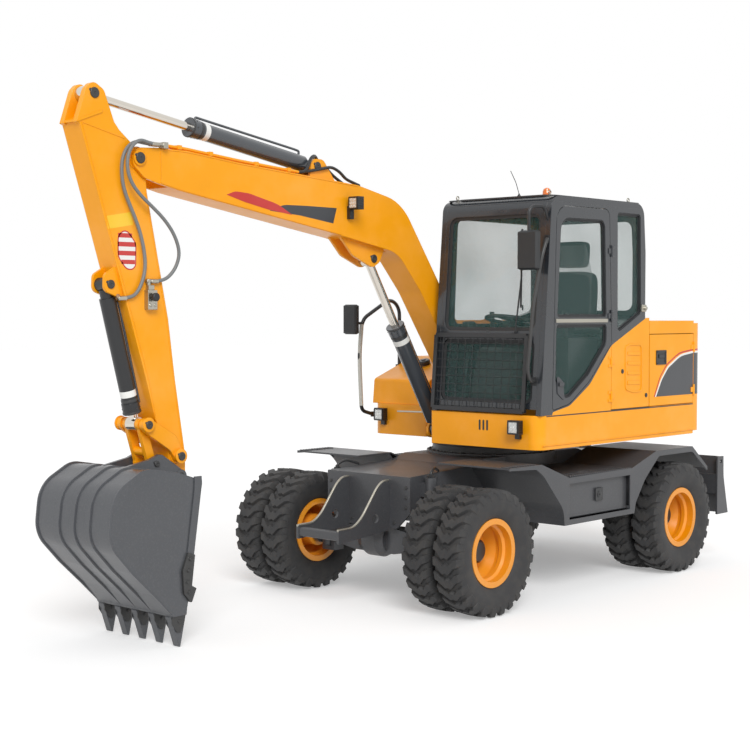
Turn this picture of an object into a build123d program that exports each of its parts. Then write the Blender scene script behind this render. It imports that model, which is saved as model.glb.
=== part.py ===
from build123d import *
import math
import os

os.makedirs("parts", exist_ok=True)

# Sizes are in millimetres. The modelling frame has +X forward, towards the bucket, +Y to the
# cab's side, +Z up, the ground at z = 0 and x = 0 midway between the axles. Each piece is
# moved back by ORIGIN_X when it is written, so that the origin lies under the middle of the box.

# Running clearances
PIN_GAP = 0.3
BODY_GAP = 5.0

# Door hinges: a sleeve on the door between two knuckles on the body
HINGE_R = 9.0
HINGE_PIN_R = 4.5
HINGE_END = 22.0
HINGE_MIDDLE = 40.0

# Tyres and wheels
WHEELBASE = 2400.0
TYRE_R = 432.5
TYRE_WIDTH = 235.0
TREAD_WIDTH = 196.0
RIM_SEAT_R = 203.0
RIM_FLANGE_R = 233.0
RIM_WIDTH = 165.0
RIM_WELL_R = 178.0
RIM_WALL = 9.0
DUAL_SPACING = 270.0
DISC_Y = 817.5
DISC_WALL = 10.0
HUB_FLANGE_R = 150.0
HUB_DRUM_R = 115.0
HUB_CAP_R = 78.0
HUB_INNER_Y = 605.0
SPINDLE_R = 45.0
SPINDLE_END_Y = 780.0
FRONT_X = WHEELBASE / 2
REAR_X = -WHEELBASE / 2
AXLE_Z = TYRE_R

# Axles and steering
KINGPIN_Y = 500.0
KINGPIN_R = 25.0
YOKE_R = 50.0
YOKE_LOW = 97.5
YOKE_WALL = 30.0
STEER_ARM = 160.0
STEER_ARM_WALL = 20.0
STEER_ARM_DROP = 90.0
TIE_ROD_R = 12.0
TIE_END_R = 18.0
LOCK_R = 45.0
LOCK_Y = 450.0

# Chassis
FRAME_HALF = 386.0
FRAME_FRONT = 1322.0
FRAME_TAIL = -1380.0
FRAME_TOP = 904.0
FRAME_BOTTOM = 600.0
FRAME_LIP = 536.0
FRAME_PLATE = 16.0
DECK_TOP = 985.0
SLEW_X = -100.0
SLEW_R = 455.0
SIDE_Y = 1020.0
SHEET = 12.0
FENDER_TOP = 985.0
STEP_TOP = 866.0
BOX_BOTTOM = 526.0
BOX_INNER_Y = 620.0
BOX_FRONT = 361.0
BOX_REAR = -553.0
BOX_HINGE_Y = SIDE_Y - 40.0
BOX_HINGE_Z = BOX_BOTTOM + 38.0 + BODY_GAP + 8.0

# Upper structure
UPPER_BOTTOM = 1075.0
SEAM_Z = 1318.0
SIDE_HALF = 970.0
CAB_RIGHT_Y = -20.0
CAB_FRONT = 590.0
CAB_TOP_FRONT = 462.0
CAB_REAR = -765.0
CAB_TOP = 2870.0
CAB_WALL = 42.0
SPLIT_X = -300.0
HOOD_FRONT = -770.0
DOOR_SPLIT_X = -830.0
HOOD_TOP = 1980.0
HOOD_REAR = -1490.0
TAIL_X = -1652.0
HOUSING_FRONT = 212.0
HOUSING_Y = -390.0
HOUSING_TOP = 1685.0
PANEL_WALL = 40.0
PANE = 6.0
LOCKER_Y = 740.0
LOCKER_WALL = 16.0

# Boom, arm and bucket, all in one plane beside the cab
BOOM_Y = -200.0
BOOM_HALF = 110.0
BOOM_PLATE = 20.0
ARM_HALF = 85.0
BOOM_FOOT = (-60.0, 1430.0)
BOOM_TIP = (3290.0, 2988.0)
BOOM_CYL_FOOT = (305.0, 1150.0)
BOOM_CYL_EYE = (1110.0, 2433.0)
ARM_CYL_BASE = (1690.0, 3055.0)
ARM_CYL_EYE = (3604.0, 3352.0)
BUCKET_CYL_BASE = (3478.0, 2216.0)
BUCKET_CYL_EYE = (3251.0, 1354.0)
ROCKER_PIVOT = (2992.0, 1143.0)
BUCKET_PIVOT = (2978.0, 1013.0)
BUCKET_LINK = (3172.0, 1106.0)
BUCKET_HALF = 370.0

# Blade behind the rear wheels
BLADE_HALF = 1020.0
BLADE_LOW = 392.0
BLADE_TOP = 865.0
BLADE_ARM_PIVOT = (-1430.0, 470.0)
BLADE_ARM_END = (-1750.0, 650.0)
BLADE_LINK_RISE = 215.0
BLADE_ARM_Y = 305.0
BLADE_CYL_BASE = (-1428.0, 850.0)
BLADE_CYL_EYE = (-1745.0, 470.0)

# The box of the whole machine is centred on the origin: the tail end is the blade's foot and
# the front end is the arm's back corner.
BLADE_REAR = -1980.0
ARM_CORNER = (3716.0, 3172.0)
ARM_FLANGE = 12.0
ORIGIN_X = (BLADE_REAR + ARM_CORNER[0] + ARM_FLANGE) / 2


def outline(rows):
    """A flat closed outline from rows of two coordinates and a corner radius."""
    points = [Vector(row[0], row[1]) for row in rows]
    radii = [row[2] if len(row) > 2 else 0 for row in rows]
    count = len(points)
    edges = []
    corners = []
    for index in range(count):
        corner, radius = points[index], radii[index]
        before, after = points[index - 1], points[(index + 1) % count]
        if radius <= 0:
            corners.append((corner, corner))
            continue
        back, ahead = before - corner, after - corner
        u, v = back.normalized(), ahead.normalized()
        half = math.acos(max(-1.0, min(1.0, u.dot(v)))) / 2
        reach = min(
            radius / math.tan(half),
            back.length * (0.49 if radii[index - 1] > 0 else 0.98),
            ahead.length * (0.49 if radii[(index + 1) % count] > 0 else 0.98),
        )
        radius = reach * math.tan(half)
        inward = (u + v).normalized()
        first, last = corner + u * reach, corner + v * reach
        middle = corner + inward * (radius / math.sin(half) - radius)
        edges.append(ThreePointArc(first, middle, last))
        corners.append((first, last))
    for index in range(count):
        edges.append(Line(corners[index][1], corners[(index + 1) % count][0]))
    return make_face(edges)


def side_plate(rows, y_low, y_high):
    """A piece cut to an outline of x and z, from y_low to y_high."""
    return extrude(Plane.XZ.offset(-y_high) * outline(rows), amount=y_high - y_low)


def plan_plate(rows, z_low, z_high):
    """A piece cut to an outline of x and y, from z_low to z_high."""
    return extrude(Plane.XY.offset(z_low) * outline(rows), amount=z_high - z_low)


def cross_plate(rows, x_low, x_high):
    """A piece cut to an outline of y and z, from x_low to x_high."""
    return extrude(Plane.YZ.offset(x_low) * outline(rows), amount=x_high - x_low)


def block(x_low, x_high, y_low, y_high, z_low, z_high):
    """A box between two corners."""
    size = (x_high - x_low, y_high - y_low, z_high - z_low)
    return Pos(x_low, y_low, z_low) * Box(*size, align=(Align.MIN, Align.MIN, Align.MIN))


def bar(start, end, radius):
    """A round bar between two points."""
    start = Vector(*start)
    end = Vector(*end)
    place = Plane(origin=start, z_dir=end - start)
    length = (end - start).length
    return place * Cylinder(radius, length, align=(Align.CENTER, Align.CENTER, Align.MIN))


def cross_bar(at, radius, y_low, y_high):
    """A round bar along Y through the point at, given as x and z."""
    return bar((at[0], y_low, at[1]), (at[0], y_high, at[1]), radius)


def ring(at, outer, inner, y_low, y_high):
    """A tube along Y about the point at, given as x and z."""
    return cross_bar(at, outer, y_low, y_high) - cross_bar(at, inner, y_low - 1, y_high + 1)


def turned(rows, at, y_sign=1):
    """A solid of revolution about a line along Y, from rows of y and radius."""
    points = [(at[0], row[0] * y_sign, at[1] + row[1]) for row in rows]
    face = make_face(Polyline(*points, close=True).edges())
    return revolve(face, axis=Axis((at[0], 0, at[1]), (0, 1, 0)), revolution_arc=360)


def mirrored(shape):
    """The same piece on the other side of the machine."""
    return mirror(shape, about=Plane.XZ)


def joined(pieces):
    """One solid from pieces that meet or overlap."""
    total = pieces[0]
    for piece in pieces[1:]:
        total = total + piece
    return total


def with_hinges(fixed, moving, middles, along_axis):
    """Join hinges at the points given to a body and to the piece that turns on it."""
    way = Vector(*along_axis)
    half = HINGE_MIDDLE / 2
    near = half + PIN_GAP
    far = near + HINGE_END
    for middle in middles:
        middle = Vector(*middle)
        fixed = fixed - bar(middle - way * near, middle + way * near, HINGE_R + PIN_GAP)
        moving = moving - bar(middle - way * (far + 2), middle + way * (far + 2), HINGE_PIN_R + PIN_GAP)
        for side in (1, -1):
            inner = middle + way * (side * near)
            outer = middle + way * (side * far)
            past = middle + way * (side * (far + 2))
            moving = moving - bar(middle + way * (side * half), past, HINGE_R + PIN_GAP)
            fixed = fixed + bar(inner, outer, HINGE_R)
        fixed = fixed + bar(middle - way * far, middle + way * far, HINGE_PIN_R)
        sleeve = bar(middle - way * half, middle + way * half, HINGE_R)
        moving = moving + (sleeve - bar(middle - way * far, middle + way * far, HINGE_PIN_R + PIN_GAP))
    return fixed, moving


def save(name, *shapes):
    """Write one node, as the solids given, in the stored frame."""
    solids = []
    for shape in shapes:
        solids += list((Pos(-ORIGIN_X, 0, 0) * shape).solids())
    export_step(Compound(children=solids), f"parts/{name}.step")
    return solids


# Wheels: two tyres on two rims that are bolted back to back on one hub

def tyre(x, y):
    """One tyre about its own middle plane, out to the tips of its lugs."""
    half = TYRE_WIDTH / 2
    tread = TREAD_WIDTH / 2
    bead = RIM_WIDTH / 2 - RIM_WALL - PIN_GAP
    shoulder_r = TYRE_R - 28
    rows = [  # y, radius
        (y - bead, RIM_SEAT_R + PIN_GAP),
        (y + bead, RIM_SEAT_R + PIN_GAP),
        (y + bead, RIM_FLANGE_R),
        (y + half, RIM_FLANGE_R + 85),
        (y + half - 4, shoulder_r - 45),
        (y + tread, TYRE_R - 6),
        (y + tread / 2, TYRE_R),
        (y - tread / 2, TYRE_R),
        (y - tread, TYRE_R - 6),
        (y - half + 4, shoulder_r - 45),
        (y - half, RIM_FLANGE_R + 85),
        (y - bead, RIM_FLANGE_R),
    ]
    return turned(rows, (x, AXLE_Z))


def rim(x, y, side):
    """One rim with its disc, which reaches the joint plane of the pair at DISC_Y."""
    half = RIM_WIDTH / 2
    bead = half - RIM_WALL
    well = half * 0.35
    barrel = [  # y, radius
        (y - half, RIM_FLANGE_R),
        (y - bead, RIM_FLANGE_R),
        (y - bead, RIM_SEAT_R),
        (y - well, RIM_SEAT_R),
        (y - well + 14, RIM_WELL_R + RIM_WALL),
        (y + well - 14, RIM_WELL_R + RIM_WALL),
        (y + well, RIM_SEAT_R),
        (y + bead, RIM_SEAT_R),
        (y + bead, RIM_FLANGE_R),
        (y + half, RIM_FLANGE_R),
        (y + half, RIM_SEAT_R - RIM_WALL),
        (y + well, RIM_SEAT_R - RIM_WALL),
        (y + well - 14, RIM_WELL_R),
        (y - well + 14, RIM_WELL_R),
        (y - well, RIM_SEAT_R - RIM_WALL),
        (y - half, RIM_SEAT_R - RIM_WALL),
    ]
    toward = 1 if y < DISC_Y else -1
    edge = y + toward * half
    face = DISC_Y
    disc = [  # y, radius
        (edge - toward * 30, RIM_SEAT_R - RIM_WALL),
        (edge - toward * 14, RIM_SEAT_R - RIM_WALL),
        (face, HUB_FLANGE_R + 12),
        (face, HUB_CAP_R),
        (face - toward * DISC_WALL, HUB_CAP_R),
        (face - toward * DISC_WALL, HUB_FLANGE_R + 6),
    ]
    at = (x, AXLE_Z)
    return turned(barrel, at, side) + turned(disc, at, side)


def hub(x, side):
    """The hub that carries both discs, with its bore for the spindle and its bolts."""
    flange_y = DISC_Y - DISC_WALL
    rows = [  # y, radius
        (HUB_INNER_Y, SPINDLE_R + PIN_GAP),
        (HUB_INNER_Y, HUB_DRUM_R),
        (flange_y - 22, HUB_DRUM_R),
        (flange_y - 18, HUB_FLANGE_R),
        (flange_y, HUB_FLANGE_R),
        (flange_y, HUB_CAP_R),
        (DISC_Y + 78, HUB_CAP_R),
        (DISC_Y + 90, HUB_CAP_R - 14),
        (DISC_Y + 90, 0),
        (SPINDLE_END_Y + 2, 0),
        (SPINDLE_END_Y + 2, SPINDLE_R + PIN_GAP),
    ]
    return turned(rows, (x, AXLE_Z), side)


def wheel(name, x, side):
    """One twin wheel: a node for its two tyres and a node for its rims and hub."""
    inner = DISC_Y - DUAL_SPACING / 2
    outer = DISC_Y + DUAL_SPACING / 2
    save("tyres_" + name, tyre(x, side * inner), tyre(x, side * outer))
    save("rims_" + name, joined([hub(x, side), rim(x, inner, side), rim(x, outer, side)]))


for end, wheel_x in (("front", FRONT_X), ("rear", REAR_X)):
    for hand, sign in (("left", 1), ("right", -1)):
        wheel(f"{end}_{hand}", wheel_x, sign)


# Front axle: a cast beam with a yoke at each end, and the knuckles, arms and rod that steer

def axle_beam(x, end_y):
    """The cast housing with its differential, from one end to the other."""
    rows = [  # y, z
        (-end_y, AXLE_Z + 55),
        (-end_y, AXLE_Z - 55),
        (-340, AXLE_Z - 66),
        (-190, AXLE_Z - 92),
        (190, AXLE_Z - 92),
        (340, AXLE_Z - 66),
        (end_y, AXLE_Z - 55),
        (end_y, AXLE_Z + 55),
        (340, AXLE_Z + 66),
        (190, AXLE_Z + 92),
        (-190, AXLE_Z + 92),
        (-340, AXLE_Z + 66),
    ]
    casing = cross_plate(rows, x - 58, x + 58)
    bowl = turned([(-120, 0), (-120, 100), (-60, 128), (60, 128), (120, 100), (120, 0)], (x, AXLE_Z))
    return casing + bowl


def front_axle():
    """The beam, its top saddle against the frame and the yokes that hold the kingpins."""
    beam = axle_beam(FRONT_X, KINGPIN_Y - YOKE_R - 12)
    saddle = block(FRONT_X - 55, FRONT_X + 55, -70, 70, AXLE_Z + 80, FRAME_BOTTOM)
    pieces = [beam, saddle]
    high = YOKE_LOW + YOKE_WALL
    for side in (1, -1):
        root_y = (KINGPIN_Y - YOKE_R - 50) * side
        wall_y = (KINGPIN_Y - YOKE_R - 20) * side
        y_low, y_high = sorted((root_y, wall_y))
        pieces.append(block(FRONT_X - YOKE_R, FRONT_X + YOKE_R, y_low, y_high, AXLE_Z - high, AXLE_Z + high))
        for low in (-high, YOKE_LOW):
            y_low, y_high = sorted((root_y, KINGPIN_Y * side))
            arm = block(
                FRONT_X - YOKE_R, FRONT_X + YOKE_R, y_low, y_high, AXLE_Z + low, AXLE_Z + low + YOKE_WALL
            )
            end = bar(
                (FRONT_X, KINGPIN_Y * side, AXLE_Z + low),
                (FRONT_X, KINGPIN_Y * side, AXLE_Z + low + YOKE_WALL),
                YOKE_R,
            )
            pieces += [arm, end]
    axle = joined(pieces)
    for side in (1, -1):
        axle -= bar(
            (FRONT_X, KINGPIN_Y * side, AXLE_Z - high - 1),
            (FRONT_X, KINGPIN_Y * side, AXLE_Z + high + 1),
            KINGPIN_R + PIN_GAP,
        )
    return axle


def knuckle(side):
    """A steering knuckle: kingpin, barrel, spindle and steering arm."""
    high = YOKE_LOW + YOKE_WALL
    y = KINGPIN_Y * side
    pin = bar((FRONT_X, y, AXLE_Z - high - 4), (FRONT_X, y, AXLE_Z + high + 4), KINGPIN_R)
    barrel_half = YOKE_LOW - PIN_GAP
    barrel = bar((FRONT_X, y, AXLE_Z - barrel_half), (FRONT_X, y, AXLE_Z + barrel_half), YOKE_R - 2)
    neck = cross_bar((FRONT_X, AXLE_Z), 70, *sorted((y, 565 * side)))
    flange = cross_bar((FRONT_X, AXLE_Z), 88, *sorted((560 * side, 598 * side)))
    spindle = cross_bar((FRONT_X, AXLE_Z), SPINDLE_R, *sorted((590 * side, SPINDLE_END_Y * side)))
    arm_x = FRONT_X - STEER_ARM
    arm_y = (KINGPIN_Y - 30) * side
    z_low = AXLE_Z - STEER_ARM_DROP
    arm_rows = [
        (FRONT_X, y - 20, 0),
        (FRONT_X, y + 20, 0),
        (arm_x + 10, arm_y + TIE_END_R, 8),
        (arm_x - TIE_END_R, arm_y + TIE_END_R, 18),
        (arm_x - TIE_END_R, arm_y - TIE_END_R, 18),
        (arm_x + 10, arm_y - TIE_END_R, 8),
    ]
    arm = plan_plate(arm_rows, z_low, z_low + STEER_ARM_WALL)
    return joined([pin, barrel, neck, flange, spindle, arm])


def tie_rod():
    """The rod between the two steering arms, which lies on top of their ends."""
    x = FRONT_X - STEER_ARM
    y = KINGPIN_Y - 30
    z_low = AXLE_Z - STEER_ARM_DROP + STEER_ARM_WALL + PIN_GAP
    z = z_low + TIE_END_R
    rod = bar((x, -y, z), (x, y, z), TIE_ROD_R)
    ends = [bar((x, y * side, z_low), (x, y * side, z_low + 2 * TIE_END_R), TIE_END_R - 2) for side in (1, -1)]
    return joined([rod] + ends)


def rear_axle():
    """The fixed rear axle with a spindle at each end and pads against the frame."""
    beam = axle_beam(REAR_X, 560)
    pieces = [beam]
    for side in (1, -1):
        pieces.append(cross_bar((REAR_X, AXLE_Z), 95, *sorted((540 * side, 598 * side))))
        pieces.append(cross_bar((REAR_X, AXLE_Z), SPINDLE_R, *sorted((590 * side, SPINDLE_END_Y * side))))
        y_low, y_high = sorted((250 * side, 340 * side))
        pieces.append(block(REAR_X - 58, REAR_X + 58, y_low, y_high, AXLE_Z + 20, FRAME_BOTTOM))
    return joined(pieces)


save("front_axle", front_axle())
save("rear_axle", rear_axle())
save("knuckle_left", knuckle(1))
save("knuckle_right", knuckle(-1))
save("tie_rod", tie_rod())


# Chassis: a box frame with a plate at its nose, the turntable base and the tail lugs

def chassis_frame():
    """The box frame, its nose plate, the drum under the slew ring and the blade's lugs."""
    beam_rows = [  # x, z, radius
        (FRAME_FRONT - FRAME_PLATE, FRAME_TOP),
        (620, FRAME_TOP + 30),
        (480, DECK_TOP - SHEET),
        (-700, DECK_TOP - SHEET),
        (-880, FRAME_TOP + 20),
        (FRAME_TAIL, FRAME_TOP),
        (FRAME_TAIL, FRAME_BOTTOM),
        (FRAME_FRONT - FRAME_PLATE, FRAME_BOTTOM),
    ]
    beam = side_plate(beam_rows, -FRAME_HALF, FRAME_HALF)
    nose_rows = [  # y, z
        (-FRAME_HALF - 8, FRAME_TOP),
        (FRAME_HALF + 8, FRAME_TOP),
        (FRAME_HALF + 8, 651),
        (272, FRAME_LIP),
        (-272, FRAME_LIP),
        (-FRAME_HALF - 8, 651),
    ]
    nose = cross_plate(nose_rows, FRAME_FRONT - FRAME_PLATE, FRAME_FRONT)
    drum = bar((SLEW_X, 0, FRAME_TOP), (SLEW_X, 0, DECK_TOP), SLEW_R + 45)
    pieces = [beam, nose, drum]
    for side in (1, -1):
        for plate_y in (BLADE_ARM_Y - 45, BLADE_ARM_Y + 25):
            y_low, y_high = sorted((plate_y * side, (plate_y + 20) * side))
            lug_rows = [
                (FRAME_TAIL + 30, FRAME_TOP - 120, 0),
                (FRAME_TAIL + 30, BLADE_ARM_PIVOT[1] - 10, 40),
                (BLADE_ARM_PIVOT[0] - 45, BLADE_ARM_PIVOT[1] - 45, 40),
                (BLADE_ARM_PIVOT[0] - 45, FRAME_TOP - 150, 20),
            ]
            pieces.append(side_plate(lug_rows, y_low, y_high))
    for plate_y in (-62, 40):
        lug_rows = [
            (FRAME_TAIL + 20, BLADE_CYL_BASE[1] + 42, 0),
            (FRAME_TAIL + 20, BLADE_CYL_BASE[1] - 75, 0),
            (BLADE_CYL_BASE[0] - 38, BLADE_CYL_BASE[1] - 36, 34),
            (BLADE_CYL_BASE[0] - 38, BLADE_CYL_BASE[1] + 42, 34),
        ]
        pieces.append(side_plate(lug_rows, plate_y, plate_y + 22))
    return joined(pieces)


def nose_bracket():
    """Two curved plates with an eye and the bar between their tips."""
    plate_rows = [  # x, z, radius
        (FRAME_FRONT, 866, 0),
        (1392, 866, 70),
        (1655, 568, 170),
        (1836, 568, 8),
        (1836, 477, 8),
        (FRAME_FRONT, 520, 0),
    ]
    pieces = []
    for plate_y in (-203, 183):
        plate = side_plate(plate_rows, plate_y, plate_y + 20)
        plate -= cross_bar((1465, 616), 32, plate_y - 1, plate_y + 21)
        pieces.append(plate)
    cross = side_plate([(1770, 497, 12), (1830, 497, 12), (1830, 557, 12), (1770, 557, 12)], -184, 184)
    return joined(pieces + [cross])


def side_box():
    """The left tool box with its steps, and the fenders before and behind it."""
    skin_rows = [  # x, z: the top line forwards to back, then back under the sheet
        (1012, FENDER_TOP),
        (640, FENDER_TOP),
        (306, STEP_TOP),
        (-520, STEP_TOP + 6),
        (-862, FENDER_TOP - 6),
        (-1402, FENDER_TOP - 6),
        (-1640, 800),
        (-1640, 800 - SHEET),
        (-1402, FENDER_TOP - 6 - SHEET),
        (-862, FENDER_TOP - 6 - SHEET),
        (-520, STEP_TOP + 6 - SHEET),
        (306, STEP_TOP - SHEET),
        (640, FENDER_TOP - SHEET),
        (1012, FENDER_TOP - SHEET),
    ]
    skin = side_plate(skin_rows, FRAME_HALF, SIDE_Y)
    lip_rows = [  # x, z, radius: the flange that hangs from the outer edge, with its arches
        (1012, FENDER_TOP, 0),
        (640, FENDER_TOP, 0),
        (306, STEP_TOP, 0),
        (-520, STEP_TOP + 6, 0),
        (-862, FENDER_TOP - 6, 0),
        (-1402, FENDER_TOP - 6, 0),
        (-1640, 800, 0),
        (-1640, 768, 0),
        (-1402, 936, 60),
        (-900, 936, 60),
        (-700, 770, 120),
        (BOX_REAR - 20, BOX_BOTTOM + 80, 60),
        (BOX_REAR, BOX_BOTTOM, 0),
        (BOX_FRONT, BOX_BOTTOM, 0),
        (BOX_FRONT + 10, 640, 160),
        (620, 905, 200),
        (700, FENDER_TOP - 30, 60),
        (1012, FENDER_TOP - 18, 0),
    ]
    lip = side_plate(lip_rows, SIDE_Y - SHEET, SIDE_Y)
    door_hole = block(BOX_REAR + 60, BOX_FRONT - 60, SIDE_Y - SHEET - 1, SIDE_Y + 1, BOX_BOTTOM + 38, STEP_TOP - 44)
    lip -= door_hole
    front_rows = [  # x, z, radius: the curved front wall under the fender
        (BOX_FRONT, BOX_BOTTOM, 0),
        (BOX_FRONT + 10, 640, 160),
        (620, 905, 200),
        (672, FENDER_TOP - SHEET, 0),
        (652, FENDER_TOP - SHEET, 0),
        (604, 915, 212),
        (BOX_FRONT - 4, 644, 172),
        (BOX_FRONT - SHEET, BOX_BOTTOM, 0),
    ]
    front = side_plate(front_rows, FRAME_HALF, SIDE_Y - SHEET)
    floor = block(BOX_REAR, BOX_FRONT, BOX_INNER_Y, SIDE_Y - SHEET, BOX_BOTTOM, BOX_BOTTOM + SHEET)
    back = side_plate(
        [(BOX_REAR, BOX_BOTTOM), (BOX_REAR + SHEET, BOX_BOTTOM), (-508, STEP_TOP), (-520, STEP_TOP)],
        FRAME_HALF,
        SIDE_Y - SHEET,
    )
    inner = block(BOX_REAR + 6, BOX_FRONT - 6, BOX_INNER_Y, BOX_INNER_Y + SHEET, BOX_BOTTOM, STEP_TOP)
    pieces = [skin, lip, front, floor, back, inner]
    for end_x, way in ((BOX_REAR + 60, -1), (BOX_FRONT - 60, 1)):
        x_low, x_high = sorted((end_x, end_x + way * 14))
        pieces.append(block(x_low, x_high, BOX_HINGE_Y - 12, SIDE_Y - SHEET, BOX_HINGE_Z - 12, BOX_HINGE_Z + 12))
        start = (end_x, BOX_HINGE_Y, BOX_HINGE_Z)
        pieces.append(bar(start, (end_x - way * 50, BOX_HINGE_Y, BOX_HINGE_Z), HINGE_PIN_R))
    return joined(pieces)


def side_box_door():
    """The drop-down door that fills the opening of the left tool box."""
    gap = BODY_GAP
    low = BOX_BOTTOM + 38 + gap
    high = STEP_TOP - 44 - gap
    panel = block(BOX_REAR + 60 + gap, BOX_FRONT - 60 - gap, SIDE_Y - 46, SIDE_Y - 34, low, high)
    ends = (BOX_REAR + 60 + gap, BOX_FRONT - 60 - gap)
    barrel = bar((ends[0], BOX_HINGE_Y, BOX_HINGE_Z), (ends[1], BOX_HINGE_Y, BOX_HINGE_Z), HINGE_R)
    latch = block(-150, -66, SIDE_Y - 34, SIDE_Y - 26, 668, 752)
    door = joined([panel, barrel, latch])
    for end_x, way in ((ends[0], 1), (ends[1], -1)):
        start = (end_x - way, BOX_HINGE_Y, BOX_HINGE_Z)
        door -= bar(start, (end_x + way * 52, BOX_HINGE_Y, BOX_HINGE_Z), HINGE_PIN_R + PIN_GAP)
    return door


def slew_ring():
    """The slewing bearing between the chassis and the upper structure."""
    outer = bar((SLEW_X, 0, DECK_TOP), (SLEW_X, 0, DECK_TOP + 48), SLEW_R)
    race = bar((SLEW_X, 0, DECK_TOP + 48), (SLEW_X, 0, UPPER_BOTTOM - PIN_GAP), SLEW_R - 28)
    hole = bar((SLEW_X, 0, DECK_TOP - 1), (SLEW_X, 0, UPPER_BOTTOM + 1), SLEW_R - 110)
    return outer + race - hole


def driveline():
    """The gearbox under the frame and the shafts to both axles."""
    z = AXLE_Z + 30
    gearbox = block(-190, 60, -120, 120, z - 70, FRAME_BOTTOM)
    front = bar((60, 0, z), (FRONT_X - 130, 0, AXLE_Z), 32)
    rear = bar((-190, 0, z), (REAR_X + 130, 0, AXLE_Z), 32)
    return joined([gearbox, front, rear])


def lock_cylinder(side):
    """One of the two cylinders that hold the front axle from rocking."""
    y = LOCK_Y * side
    body = bar((FRONT_X - 38, y, 700), (FRONT_X - 38, y, FRAME_TOP - 10), LOCK_R)
    rod = bar((FRONT_X - 38, y, AXLE_Z + YOKE_LOW + YOKE_WALL + PIN_GAP), (FRONT_X - 38, y, 700), 22)
    y_low, y_high = sorted((FRAME_HALF * side, (LOCK_Y - 20) * side))
    bracket = block(FRONT_X - 80, FRONT_X + 4, y_low, y_high, 760, 860)
    return joined([body, rod, bracket])


save("chassis_frame", joined([chassis_frame(), lock_cylinder(1), lock_cylinder(-1)]))
save("nose_bracket", nose_bracket())
save("side_boxes", side_box(), mirrored(side_box()))
save("side_box_door_left", side_box_door())
save("side_box_door_right", mirrored(side_box_door()))
save("slew_ring", slew_ring())
save("driveline", driveline())


# Blade with its lower arms, upper links and cylinder

def blade():
    """The curved mouldboard, its end plates and the lugs on its back."""
    end_rows = [  # x, z, radius
        (-1806, BLADE_TOP, 0),
        (-1902, BLADE_TOP, 0),
        (-1905, 700, 300),
        (BLADE_REAR, BLADE_LOW, 0),
        (-1804, BLADE_LOW, 0),
    ]
    pieces = []
    for side in (1, -1):
        y_low, y_high = sorted(((BLADE_HALF - 16) * side, BLADE_HALF * side))
        end = side_plate(end_rows, y_low, y_high)
        end -= cross_bar((-1862, BLADE_TOP - 42), 16, y_low - 1, y_high + 1)
        pieces.append(end)
    board_rows = [  # x, z, radius: a dished plate, open to the rear
        (-1880, BLADE_TOP, 0),
        (-1826, 640, 420),
        (-1962, BLADE_LOW, 0),
        (-1940, BLADE_LOW, 0),
        (-1806, 640, 420),
        (-1862, BLADE_TOP, 0),
    ]
    pieces.append(side_plate(board_rows, -BLADE_HALF + 16, BLADE_HALF - 16))
    pieces.append(block(-1850, -1808, -BLADE_HALF + 16, BLADE_HALF - 16, 560, 720))
    lug_low = BLADE_ARM_END[1] - 42
    lug_high = BLADE_ARM_END[1] + BLADE_LINK_RISE + 38
    lug_rows = [
        (-1815, lug_low - 20, 0),
        (BLADE_ARM_END[0] + 38, lug_low, 34),
        (BLADE_ARM_END[0] + 38, lug_high, 34),
        (-1875, lug_high, 0),
    ]
    for side in (1, -1):
        for plate_y in (BLADE_ARM_Y - 45, BLADE_ARM_Y + 25):
            y_low, y_high = sorted((plate_y * side, (plate_y + 20) * side))
            pieces.append(side_plate(lug_rows, y_low, y_high))
    for plate_y in (-62, 40):
        pieces.append(
            side_plate(
                [
                    (-1828, BLADE_CYL_EYE[1] + 130, 0),
                    (BLADE_CYL_EYE[0] + 36, BLADE_CYL_EYE[1] + 36, 30),
                    (BLADE_CYL_EYE[0] + 36, BLADE_CYL_EYE[1] - 36, 30),
                    (-1890, BLADE_CYL_EYE[1] - 60, 0),
                ],
                plate_y,
                plate_y + 22,
            )
        )
    return joined(pieces)


def pivot_arm(start, end, radius, y_low, y_high):
    """A flat arm between two round eyes."""
    x0, z0 = start
    x1, z1 = end
    length = math.hypot(x1 - x0, z1 - z0)
    nx, nz = -(z1 - z0) / length * radius * 0.8, (x1 - x0) / length * radius * 0.8
    web = side_plate([(x0 + nx, z0 + nz), (x1 + nx, z1 + nz), (x1 - nx, z1 - nz), (x0 - nx, z0 - nz)], y_low, y_high)
    return joined([web, cross_bar(start, radius, y_low, y_high), cross_bar(end, radius, y_low, y_high)])


def raised(point, dz):
    """A point of x and z moved up."""
    return (point[0], point[1] + dz)


def blade_arms(rise, radius):
    """A pair of arms between the tail lugs and the blade's lugs."""
    start = raised(BLADE_ARM_PIVOT, rise)
    end = raised(BLADE_ARM_END, rise)
    half = 24.7
    return [
        pivot_arm(start, end, radius, side * BLADE_ARM_Y - half, side * BLADE_ARM_Y + half) for side in (1, -1)
    ]


lower_arms = blade_arms(0, 34)
cross_tube_at = (
    (BLADE_ARM_PIVOT[0] * 0.75 + BLADE_ARM_END[0] * 0.25),
    (BLADE_ARM_PIVOT[1] * 0.75 + BLADE_ARM_END[1] * 0.25),
)
lower_arms.append(cross_bar(cross_tube_at, 22, -BLADE_ARM_Y, BLADE_ARM_Y))
save("blade", blade())
save("blade_arms", joined(lower_arms))
save("blade_links", *blade_arms(BLADE_LINK_RISE, 28))


# Cylinders: a barrel that turns on its base pin and a rod that slides out of it

def direction(start, end):
    """The unit vector between two points of x and z, and their distance."""
    dx, dz = end[0] - start[0], end[1] - start[1]
    length = math.hypot(dx, dz)
    return dx / length, dz / length, length


def along(start, end, distance):
    """The point of x and z at a distance from start towards end."""
    dx, dz, _ = direction(start, end)
    return (start[0] + dx * distance, start[1] + dz * distance)


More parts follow.
